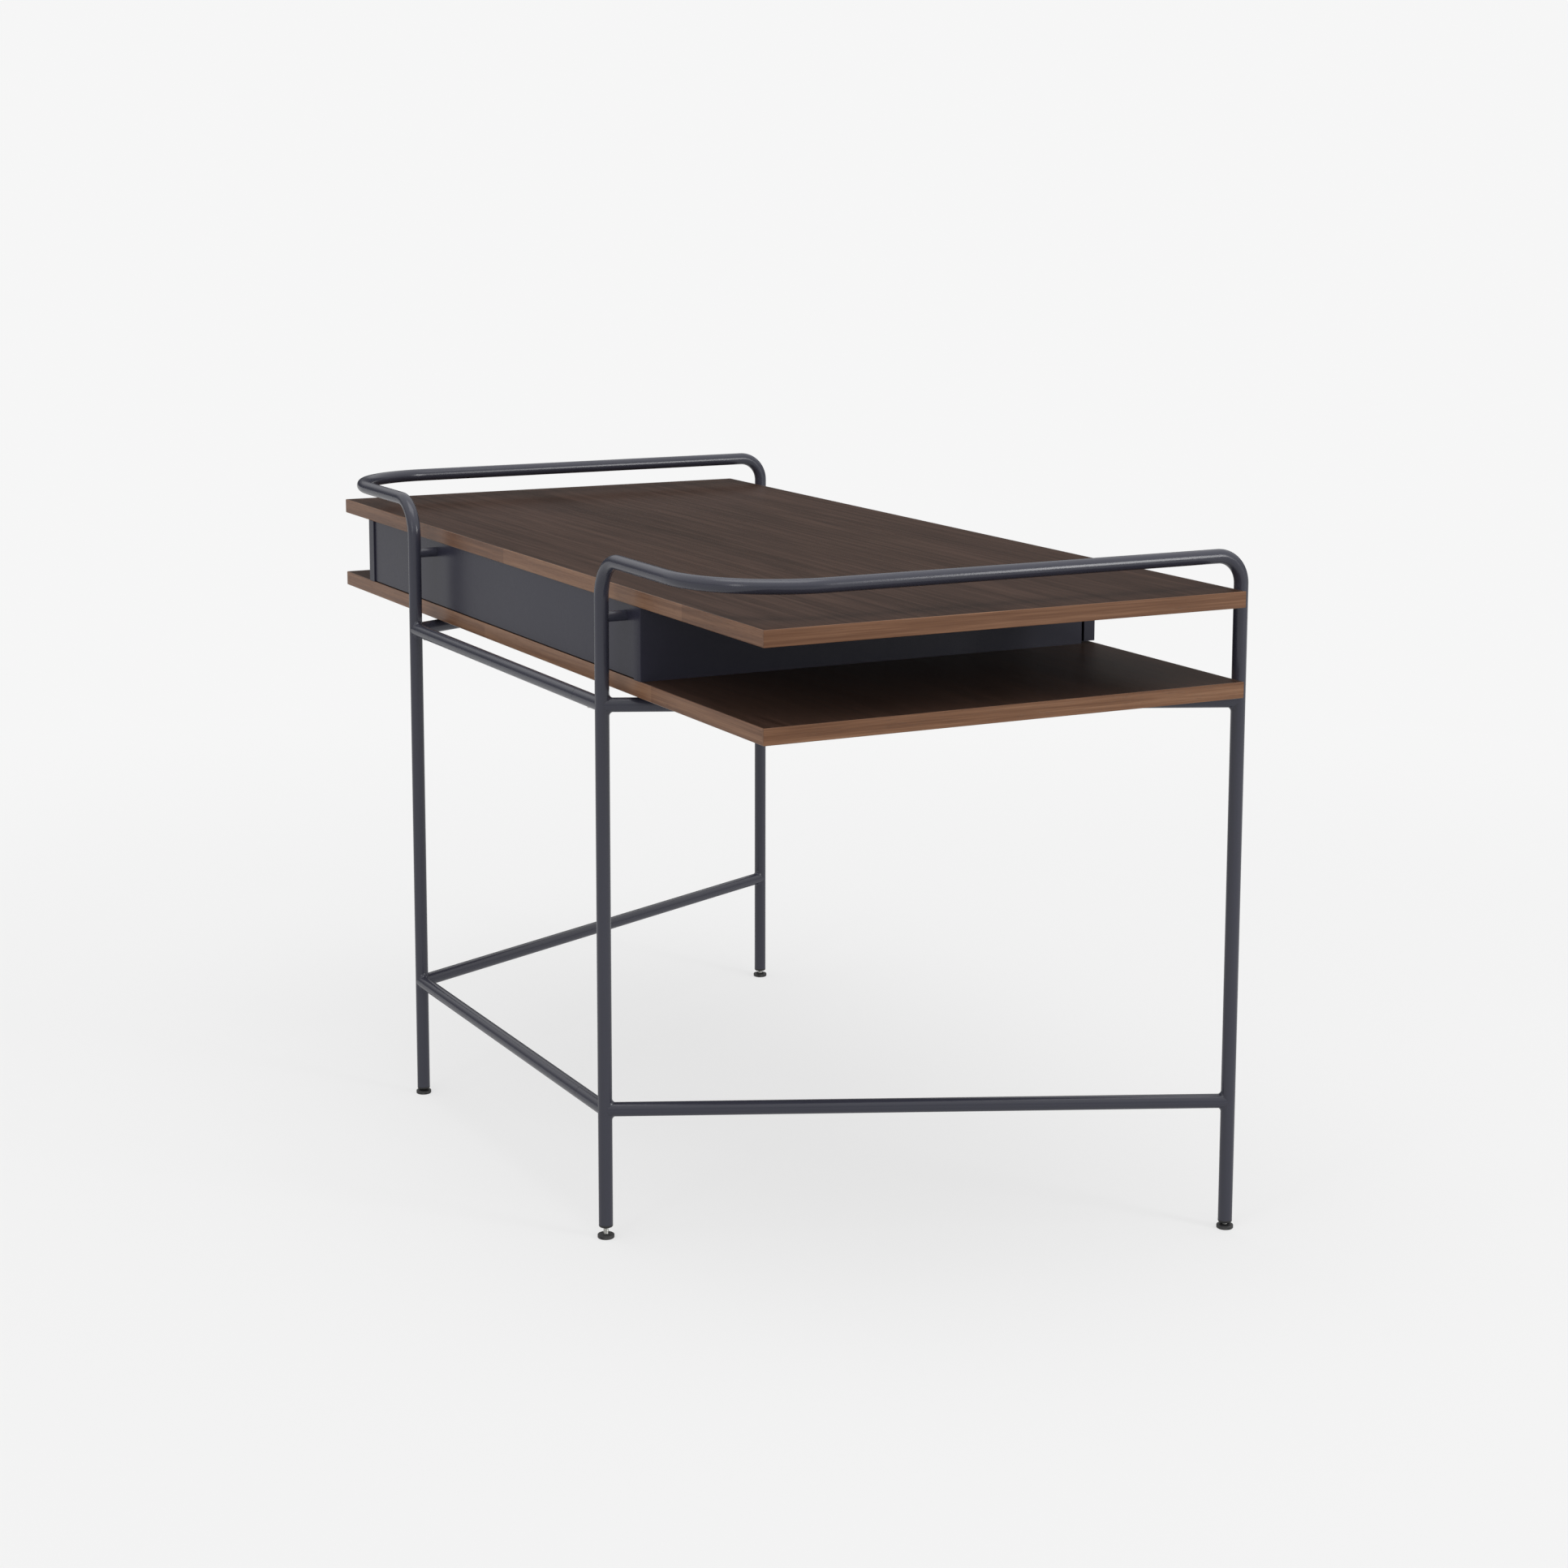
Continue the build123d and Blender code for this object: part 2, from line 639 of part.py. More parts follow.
CASE_PANELS = {
    "box_side_left": (PANEL_POSITIONS[0], BACK_EDGE),
    "box_divider": (PANEL_POSITIONS[1], BACK_PANEL_INNER),
    "box_side_right": (PANEL_POSITIONS[2], BACK_EDGE),
}

for panel_name, (panel_x, panel_back) in CASE_PANELS.items():
    with BuildPart() as case_panel:
        with BuildSketch(Plane.XY.offset(LOWER_TOP)):
            with Locations((panel_x, (PANEL_FRONT + panel_back) / 2)):
                Rectangle(PANEL_THICKNESS, panel_back - PANEL_FRONT)
        extrude(amount=CLEAR_GAP)
        chamfer(case_panel.edges().filter_by(Axis.Z), 0.5)
        drill_dowels(upright_dowels)
        drill_dowels(back_dowel_places)
        with Locations(*panel_screw_places):
            add(panel_screw_hole, mode=Mode.SUBTRACT)
        for wall_x, facing in runner_walls:
            with Locations(*case_screw_places(wall_x, facing)):
                add(runner_screw_hole, mode=Mode.SUBTRACT)
    write_piece(case_panel, panel_name)

back_panel_left = CASE_LEFT + PANEL_THICKNESS
back_panel_right = CASE_RIGHT - PANEL_THICKNESS
with BuildPart() as box_back_panel:
    with BuildSketch(Plane.XY.offset(LOWER_TOP + BACK_PANEL_SHADOW_GAP)):
        with Locations((CASE_MIDDLE, (BACK_PANEL_OUTER + BACK_PANEL_INNER) / 2)):
            Rectangle(back_panel_right - back_panel_left, BACK_PANEL_THICKNESS)
    extrude(amount=CLEAR_GAP - BACK_PANEL_SHADOW_GAP)
    drill_dowels(back_dowel_places)
    with Locations(*standoff_places):
        Cylinder(
            STANDOFF_SCREW_RADIUS + 0.3,
            4 * BACK_PANEL_THICKNESS,
            rotation=(90, 0, 0),
            mode=Mode.SUBTRACT,
        )
write_piece(box_back_panel, "box_back_panel")

with BuildPart() as panel_screws:
    with Locations(*panel_screw_places):
        add(panel_screw_solid)
write_piece(panel_screws, "panel_screws")

with BuildPart() as panel_dowels:
    with Locations(*upright_dowels, *back_dowel_places):
        Cylinder(DOWEL_RADIUS, DOWEL_LENGTH)
    chamfer(panel_dowels.edges().filter_by(GeomType.CIRCLE), 0.6)
write_piece(panel_dowels, "panel_dowels")


# ================================================================ runners
# Runners are drawn in section. "Reach" is the distance from the case wall (0) to
# the drawer's side (RUNNER_WIDTH), and "rise" the height above the runner's axis.
CASE_INNER_RISE = RUNNER_HEIGHT / 2 - RUNNER_SHEET
BALL_RISE = CASE_INNER_RISE - BALL_RADIUS - BALL_CLEARANCE
BALL_REACH = 6.6
SLIDE_RISE = BALL_RISE - BALL_RADIUS - BALL_CLEARANCE
LIP_RISE = BALL_RISE - 0.65
SLIDE_LIP_REACH = 3.2
LIP_SHEET = 0.8
CASE_LIP_REACH = 10.0
CAGE_REACH = 1.7
CAGE_SHEET = 0.9
CAGE_END_REACH = 9.5


def runner_plane(wall_x, facing, y):
    """Plane of a runner's section: local x is the reach, local y the rise."""
    return Plane(
        origin=(wall_x, y, RUNNER_AXIS_HEIGHT),
        x_dir=(facing, 0, 0),
        z_dir=(0, -facing, 0),
    )


def channel_outline(points):
    """Draw a closed outline and its mirror image below the runner's axis."""
    with BuildSketch(mode=Mode.PRIVATE) as half:
        with BuildLine():
            Polyline(*points, close=True)
        make_face()
    add(half.sketch)
    mirror(half.sketch, about=Plane.XZ)


def case_member(wall_x, facing):
    """Outer channel, screwed to the case."""
    top = RUNNER_HEIGHT / 2
    with BuildPart() as member:
        with BuildSketch(runner_plane(wall_x, facing, RUNNER_FRONT)):
            channel_outline([
                (0, 0),
                (0, top),
                (CASE_LIP_REACH + LIP_SHEET, top),
                (CASE_LIP_REACH + LIP_SHEET, LIP_RISE),
                (CASE_LIP_REACH, LIP_RISE),
                (CASE_LIP_REACH, CASE_INNER_RISE),
                (RUNNER_SHEET, CASE_INNER_RISE),
                (RUNNER_SHEET, 0),
            ])
        extrude(amount=-facing * RUNNER_LENGTH)
        with Locations(*case_screw_places(wall_x, facing)):
            add(runner_screw_hole, mode=Mode.SUBTRACT)
    return member.part


def slide_member(wall_x, facing):
    """Inner channel, screwed to the drawer's side."""
    with BuildPart() as member:
        with BuildSketch(runner_plane(wall_x, facing, RUNNER_FRONT)):
            channel_outline([
                (RUNNER_WIDTH, 0),
                (RUNNER_WIDTH, SLIDE_RISE),
                (SLIDE_LIP_REACH + LIP_SHEET, SLIDE_RISE),
                (SLIDE_LIP_REACH + LIP_SHEET, LIP_RISE),
                (SLIDE_LIP_REACH, LIP_RISE),
                (SLIDE_LIP_REACH, SLIDE_RISE - RUNNER_SHEET),
                (RUNNER_WIDTH - RUNNER_SHEET, SLIDE_RISE - RUNNER_SHEET),
                (RUNNER_WIDTH - RUNNER_SHEET, 0),
            ])
        extrude(amount=-facing * RUNNER_LENGTH)
        with Locations(*slide_screw_places(wall_x, facing)):
            add(runner_screw_hole, mode=Mode.SUBTRACT)
    return member.part


def ball_places(wall_x, facing):
    """Centres of one runner's balls, in its two rows."""
    ball_x = wall_x + facing * BALL_REACH
    first_y = CAGE_CENTRE - (BALL_COUNT - 1) * BALL_SPACING / 2
    return [
        (ball_x, first_y + index * BALL_SPACING, RUNNER_AXIS_HEIGHT + row * BALL_RISE)
        for row in (-1, 1)
        for index in range(BALL_COUNT)
    ]


def ball_cage(wall_x, facing):
    """Folded strip that keeps the balls apart and travels half as far."""
    with BuildPart() as cage:
        with BuildSketch(runner_plane(wall_x, facing, CAGE_CENTRE - CAGE_LENGTH / 2)):
            channel_outline([
                (CAGE_REACH, 0),
                (CAGE_REACH, BALL_RISE + CAGE_SHEET / 2),
                (CAGE_END_REACH, BALL_RISE + CAGE_SHEET / 2),
                (CAGE_END_REACH, BALL_RISE - CAGE_SHEET / 2),
                (CAGE_REACH + CAGE_SHEET, BALL_RISE - CAGE_SHEET / 2),
                (CAGE_REACH + CAGE_SHEET, 0),
            ])
        extrude(amount=-facing * CAGE_LENGTH)
        with Locations(*ball_places(wall_x, facing)):
            Cylinder(BALL_RADIUS + BALL_CLEARANCE, 4 * CAGE_SHEET, mode=Mode.SUBTRACT)
    return cage.part


front_screw = round_head_screw(FRONT_SCREW_LENGTH)

# ================================================================ drawers
FRONT_SPANS = {
    "left": (CASE_LEFT, CASE_MIDDLE - FRONT_SPACING / 2),
    "right": (CASE_MIDDLE + FRONT_SPACING / 2, CASE_RIGHT),
}
FRONT_LOW = LOWER_TOP + FRONT_GAP
FRONT_HIGH = UPPER_BOTTOM - FRONT_GAP


def cut_finger_scoop(x):
    """Cut the grip out of the top of the upright board being built."""
    with BuildSketch(Plane.XZ.offset(-FRONT_INNER - 2 * DRAWER_BOARD)) as scoop:
        with Locations((x, FRONT_HIGH)):
            SlotOverall(FINGER_WIDTH, 2 * FINGER_DEPTH)
    extrude(scoop.sketch, amount=FRONT_THICKNESS + 4 * DRAWER_BOARD, mode=Mode.SUBTRACT)


def drawer_board(x_span, y_span, z_span, groove=None):
    """A flat drawer board, with the bottom panel's groove cut by a slab."""
    with BuildPart() as board:
        with BuildSketch(Plane.XY.offset(z_span[0])):
            with Locations(((x_span[0] + x_span[1]) / 2, (y_span[0] + y_span[1]) / 2)):
                Rectangle(x_span[1] - x_span[0], y_span[1] - y_span[0])
        extrude(amount=z_span[1] - z_span[0])
        if groove is not None:
            add(groove, mode=Mode.SUBTRACT)
    return board.part


for drawer_name, (bay_left, bay_right) in DRAWER_BAYS.items():
    box_left = bay_left + RUNNER_WIDTH
    box_right = bay_right - RUNNER_WIDTH
    inner_left = box_left + DRAWER_BOARD
    inner_right = box_right - DRAWER_BOARD
    inner_front = FRONT_INNER + DRAWER_BOARD
    inner_back = DRAWER_BACK_FACE - DRAWER_BOARD
    box_height = (DRAWER_LOW, DRAWER_HIGH)
    fit = WOOD_FIT
    bottom_slab = drawer_board(
        (inner_left - DRAWER_GROOVE, inner_right + DRAWER_GROOVE),
        (inner_front - DRAWER_GROOVE, inner_back + DRAWER_GROOVE),
        (BOTTOM_PANEL_HEIGHT, BOTTOM_PANEL_HEIGHT + DRAWER_BOTTOM_THICKNESS),
    )
    bottom_groove = drawer_board(
        (inner_left - DRAWER_GROOVE - fit, inner_right + DRAWER_GROOVE + fit),
        (inner_front - DRAWER_GROOVE - fit, inner_back + DRAWER_GROOVE + fit),
        (BOTTOM_PANEL_HEIGHT - fit, BOTTOM_PANEL_HEIGHT + DRAWER_BOTTOM_THICKNESS + fit),
    )

    with BuildPart() as drawer_bottom:
        add(bottom_slab)
    write_piece(drawer_bottom, f"{drawer_name}_drawer_bottom")

    walls = ((bay_left, 1), (bay_right, -1))
    side_spans = {"left": (box_left, inner_left), "right": (inner_right, box_right)}
    for (end_name, side_span), (wall_x, facing) in zip(side_spans.items(), walls):
        with BuildPart() as drawer_side:
            add(drawer_board(side_span, (FRONT_INNER, DRAWER_BACK_FACE), box_height, bottom_groove))
            chamfer(drawer_side.faces().sort_by(Axis.Z)[-1].edges().filter_by(Axis.Y), 0.8)
            with Locations(*slide_screw_places(wall_x, facing)):
                add(runner_screw_hole, mode=Mode.SUBTRACT)
        write_piece(drawer_side, f"{drawer_name}_drawer_side_{end_name}")

    front_left, front_right = FRONT_SPANS[drawer_name]
    front_middle = (front_left + front_right) / 2
    screw_offset = (inner_right - inner_left) / 2 - 40
    drawer_middle = (inner_left + inner_right) / 2
    front_screw_places = [
        Location((drawer_middle + sign * screw_offset, inner_front, height), (90, 0, 0))
        for sign in (-1, 1)
        for height in (RUNNER_AXIS_HEIGHT - 2, RUNNER_AXIS_HEIGHT + 22)
    ]
    with BuildPart() as inner_front_board:
        add(drawer_board((inner_left, inner_right), (FRONT_INNER, inner_front), box_height, bottom_groove))
        cut_finger_scoop(front_middle)
        with Locations(*front_screw_places):
            Cylinder(SCREW_SHANK + 0.3, 4 * DRAWER_BOARD, mode=Mode.SUBTRACT)
    write_piece(inner_front_board, f"{drawer_name}_drawer_inner_front")

    with BuildPart() as drawer_back:
        depths = (inner_back, DRAWER_BACK_FACE)
        add(drawer_board((inner_left, inner_right), depths, box_height, bottom_groove))
    write_piece(drawer_back, f"{drawer_name}_drawer_back")

    with BuildPart() as drawer_front:
        with BuildSketch(Plane.XZ.offset(-FRONT_INNER)):
            with Locations((front_middle, (FRONT_LOW + FRONT_HIGH) / 2)):
                Rectangle(front_right - front_left, FRONT_HIGH - FRONT_LOW)
        extrude(amount=FRONT_THICKNESS)
        cut_finger_scoop(front_middle)
        fillet(drawer_front.faces().sort_by(Axis.Y)[0].edges(), 1.0)
        with Locations(*front_screw_places):
            Cylinder(
                SCREW_SHANK + WOOD_FIT,
                2 * (FRONT_SCREW_LENGTH + 0.5),
                mode=Mode.SUBTRACT,
            )
    write_piece(drawer_front, f"{drawer_name}_drawer_front")

    with BuildPart() as front_screws:
        with Locations(*front_screw_places):
            add(front_screw)
    write_piece(front_screws, f"{drawer_name}_drawer_front_screws")

    with BuildPart() as case_members:
        for wall_x, facing in walls:
            add(case_member(wall_x, facing))
    write_piece(case_members, f"{drawer_name}_runner_case_members")

    with BuildPart() as slide_members:
        for wall_x, facing in walls:
            add(slide_member(wall_x, facing))
    write_piece(slide_members, f"{drawer_name}_runner_drawer_members")

    with BuildPart() as ball_cages:
        for wall_x, facing in walls:
            add(ball_cage(wall_x, facing))
    write_piece(ball_cages, f"{drawer_name}_runner_ball_cages")

    with BuildPart() as balls:
        for wall_x, facing in walls:
            with Locations(*ball_places(wall_x, facing)):
                Sphere(BALL_RADIUS)
    write_piece(balls, f"{drawer_name}_runner_balls")

    with BuildPart() as slide_screws:
        for wall_x, facing in walls:
            with Locations(*slide_screw_places(wall_x, facing)):
                add(runner_screw_solid)
    write_piece(slide_screws, f"{drawer_name}_runner_drawer_screws")

with BuildPart() as runner_case_screws:
    for wall_x, facing in runner_walls:
        with Locations(*case_screw_places(wall_x, facing)):
            add(runner_screw_solid)
write_piece(runner_case_screws, "runner_case_screws")
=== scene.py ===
"""Looks of a two-tier writing desk: walnut boards, a lacquered drawer case and bent-tube side frames.

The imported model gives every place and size. Pieces whose shape is already right keep their mesh and get a
finish; bent tubes, screws, studs and runner balls are rebuilt smoother and with their threads.
"""

import logging
import math
from collections.abc import Callable, Iterable, Mapping, Sequence
from dataclasses import dataclass, field, replace
from enum import Enum

import bmesh
import bpy
from mathutils import Matrix, Vector


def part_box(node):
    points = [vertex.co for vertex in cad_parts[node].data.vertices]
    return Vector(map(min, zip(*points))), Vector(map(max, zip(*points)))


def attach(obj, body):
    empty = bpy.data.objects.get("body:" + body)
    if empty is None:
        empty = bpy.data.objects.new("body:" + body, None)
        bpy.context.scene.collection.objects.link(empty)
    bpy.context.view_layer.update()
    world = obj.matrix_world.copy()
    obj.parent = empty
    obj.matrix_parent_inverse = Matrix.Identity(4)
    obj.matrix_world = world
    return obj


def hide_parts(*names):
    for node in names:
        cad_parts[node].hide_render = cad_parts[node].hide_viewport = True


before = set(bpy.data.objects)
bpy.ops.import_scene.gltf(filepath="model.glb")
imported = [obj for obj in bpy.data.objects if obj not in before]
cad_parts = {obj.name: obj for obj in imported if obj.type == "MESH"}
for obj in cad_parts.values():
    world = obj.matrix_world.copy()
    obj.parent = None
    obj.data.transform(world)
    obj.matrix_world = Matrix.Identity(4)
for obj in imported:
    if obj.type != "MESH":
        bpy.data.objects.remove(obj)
log = logging.getLogger("desk")

Colour = tuple[float, float, float]
Point = tuple[float, float, float]


class Slot(Enum):
    """The record's material slots."""

    TUBE = "tube_lacquer"
    WALNUT_FACE = "walnut_face"
    WALNUT_EDGE = "walnut_edge"
    CASE = "case_lacquer"
    BIRCH = "drawer_birch"
    BEECH = "beech_dowel"
    ZINC = "zinc_steel"
    RUNNER = "runner_steel"
    BALL = "ball_steel"
    FOOT = "foot_plastic"


class Axis(Enum):
    """A direction of the desk, by its index."""

    X = 0
    Y = 1
    Z = 2


# ---------------------------------------------------------------- node graphs
class Link:
    """A node's output that takes part in arithmetic: an expression on it adds Math nodes."""

    def __init__(self, graph: "Graph", socket: bpy.types.NodeSocket) -> None:
        """Wrap a socket of a graph."""
        self.graph = graph
        self.socket = socket

    def _math(self, operation: str, *feeds: "Feed") -> "Link":
        """Add one Math node over the feeds."""
        return self.graph.node("ShaderNodeMath", {"operation": operation}, dict(enumerate(feeds)))

    def __add__(self, other: "Feed") -> "Link":
        """Sum."""
        return self._math("ADD", self, other)

    __radd__ = __add__

    def __sub__(self, other: "Feed") -> "Link":
        """Difference."""
        return self._math("SUBTRACT", self, other)

    def __rsub__(self, other: "Feed") -> "Link":
        """Difference from a number."""
        return self._math("SUBTRACT", other, self)

    def __mul__(self, other: "Feed") -> "Link":
        """Product."""
        return self._math("MULTIPLY", self, other)

    __rmul__ = __mul__

    def __truediv__(self, other: "Feed") -> "Link":
        """Quotient."""
        return self._math("DIVIDE", self, other)

    def __pow__(self, other: "Feed") -> "Link":
        """Power."""
        return self._math("POWER", self, other)

    def __gt__(self, other: "Feed") -> "Link":
        """1 where this is the larger, else 0."""
        return self._math("GREATER_THAN", self, other)

    def __lt__(self, other: "Feed") -> "Link":
        """1 where this is the smaller, else 0."""
        return self._math("LESS_THAN", self, other)

    def __abs__(self) -> "Link":
        """Size without sign."""
        return self._math("ABSOLUTE", self)

    def at_least(self, other: "Feed") -> "Link":
        """The larger of the two."""
        return self._math("MAXIMUM", self, other)

    def clamped(self) -> "Link":
        """Kept between 0 and 1."""
        return self.graph.node("ShaderNodeClamp", {}, {0: self})

    def folded(self, length: float) -> "Link":
        """A zigzag between 0 and length."""
        return self._math("PINGPONG", self, length)

    def ramped(self, low: float, high: float) -> "Link":
        """A smooth step from 0 at low to 1 at high."""
        settings = {"interpolation_type": "SMOOTHSTEP"}
        return self.graph.node("ShaderNodeMapRange", settings, {0: self, 1: low, 2: high, 3: 0.0, 4: 1.0})


Feed = Link | float | int | bool | Sequence[float] | bpy.types.Material


class Graph:
    """A node tree under construction, for a material or for geometry."""

    def __init__(self, tree: bpy.types.NodeTree) -> None:
        """Start on an empty tree."""
        self.tree = tree
        tree.nodes.clear()

    def node(
        self,
        kind: str,
        settings: Mapping[str, object] | None = None,
        feeds: Mapping[int | str, Feed] | None = None,
        output: int | str = 0,
    ) -> Link:
        """Add any node.

        Args:
            kind: The node's type.
            settings: Its properties; "stops" holds a colour ramp's (place, colour) pairs.
            feeds: Values or links for its input sockets, by number or name.
            output: The output socket wanted.

        Returns:
            The wanted output.
        """
        made = self.tree.nodes.new(kind)
        for name, value in (settings or {}).items():
            if name == "stops":
                self._set_stops(made.color_ramp, value)
            else:
                setattr(made, name, value)
        for key, feed in (feeds or {}).items():
            self.feed(made.inputs[key], feed)
        return Link(self, made.outputs[output])

    def feed(self, socket: bpy.types.NodeSocket, feed: Feed) -> None:
        """Link or set one input socket.

        Args:
            socket: The input.
            feed: The link or value that it gets.
        """
        if isinstance(feed, Link):
            self.tree.links.new(feed.socket, socket)
        elif isinstance(feed, (tuple, list)) and len(feed) == 3 and socket.type == "RGBA":
            socket.default_value = (*feed, 1.0)
        else:
            socket.default_value = feed

    @staticmethod
    def _set_stops(ramp: bpy.types.ColorRamp, stops: Sequence[tuple[float, Colour]]) -> None:
        """Give a colour ramp its stops.

        Args:
            ramp: The ramp.
            stops: Each stop's place and colour.
        """
        while len(ramp.elements) < len(stops):
            ramp.elements.new(1.0)
        for element, (place, colour) in zip(ramp.elements, stops):
            element.position = place
            element.color = (*colour, 1.0)


class Recipe(Graph):
    """A material's nodes, on the piece's Object coordinates."""

    def __init__(self, name: str) -> None:
        """Start a material.

        Args:
            name: Its name.
        """
        self.material = bpy.data.materials.new(name)
        self.material.use_nodes = True
        super().__init__(self.material.node_tree)
        self.place = self.node("ShaderNodeTexCoord", output="Object")
        self.facing = self.node("ShaderNodeTexCoord", output="Normal")

    def part_of(self, vector: Link, axis: Axis) -> Link:
        """One coordinate of a vector."""
        return self.node("ShaderNodeSeparateXYZ", {}, {0: vector}, axis.value)

    def stretched(self, along: Feed, across: Feed, depth: Feed) -> Link:
        """A vector of three coordinates, each already multiplied."""
        return self.node("ShaderNodeCombineXYZ", {}, {0: along, 1: across, 2: depth})

    def noise(self, vector: Link, scale: float, detail: float = 3.0, roughness: float = 0.5) -> Link:
        """Smooth noise from 0 to 1, centred near a half."""
        feeds = {"Vector": vector, "Scale": scale, "Detail": detail, "Roughness": roughness}
        return self.node("ShaderNodeTexNoise", {}, feeds)

    def scaled(self, vector: Link, scale: Point) -> Link:
        """A vector times a scale for each axis."""
        return self.node("ShaderNodeVectorMath", {"operation": "MULTIPLY"}, {0: vector, 1: scale})

    def mixed(self, factor: Feed, first: Feed, second: Feed, blend: str = "MIX") -> Link:
        """Two colours mixed."""
        settings = {"data_type": "RGBA", "blend_type": blend}
        return self.node("ShaderNodeMix", settings, {0: factor, 6: first, 7: second}, 2)

    def ramp(self, factor: Feed, stops: Sequence[tuple[float, Colour]]) -> Link:
        """A colour from a ramp."""
        return self.node("ShaderNodeValToRGB", {"stops": stops}, {0: factor})

    def bump(self, height: Feed, depth: float) -> Link:
        """A normal raised by a height from 0 to 1, where 1 stands depth metres proud."""
        return self.node("ShaderNodeBump", {}, {"Height": height, "Strength": 1.0, "Distance": depth})

    def glow(self, strength: float) -> Link:
        """A plain white glow."""
        return self.node("ShaderNodeEmission", {}, {"Color": (1.0, 1.0, 1.0), "Strength": strength})

    def finish(self, **feeds: Feed) -> bpy.types.Material:
        """Close the material with its surface.

        Args:
            **feeds: Values or links for the surface's sockets; an underscore stands for a space.

        Returns:
            The finished material.
        """
        named = {name.replace("_", " "): feed for name, feed in feeds.items()}
        self.end_with(self.node("ShaderNodeBsdfPrincipled", {}, named))
        return self.material

    def end_with(self, surface: Link) -> None:
        """Add the output node."""
        end = self.tree.nodes.new("ShaderNodeOutputMaterial")
        self.tree.links.new(surface.socket, end.inputs[0])


# ---------------------------------------------------------------- finishes
@dataclass(frozen=True)
class SatinLacquer:
    """Sprayed colour with a fine orange peel and a faint drift in tone and gloss."""

    name: str
    colour: Colour
    roughness: float
    peel_scale: float
    peel_depth: float
    specular: float = 0.5
    drift: float = 0.12

    def make(self) -> bpy.types.Material:
        """Make the material.

        Returns:
            The material.
        """
        recipe = Recipe(self.name)
        cloud = recipe.noise(recipe.place, scale=7.0, detail=2.0)
        speck = recipe.noise(recipe.place, scale=1400.0, detail=2.0)
        tone = 1.0 + (cloud - 0.5) * self.drift + (speck - 0.5) * 0.10
        colour = recipe.mixed(1.0, self.colour, recipe.stretched(tone, tone, tone), "MULTIPLY")
        peel = recipe.noise(recipe.place, self.peel_scale, detail=2.0, roughness=0.4)
        fine = recipe.noise(recipe.place, self.peel_scale * 4.0, detail=2.0)
        rough = self.roughness + (cloud - 0.5) * 0.08 + (fine - 0.5) * 0.10
        normal = recipe.bump(peel * 0.75 + fine * 0.25, self.peel_depth)
        return recipe.finish(
            Base_Color=colour, Roughness=rough, Normal=normal, IOR=1.5, Specular_IOR_Level=self.specular
        )


@dataclass(frozen=True)
class WoodTones:
    """A timber's colours, from its dark growth to its light growth."""

    dark: Colour
    middle: Colour
    light: Colour
    pore: Colour


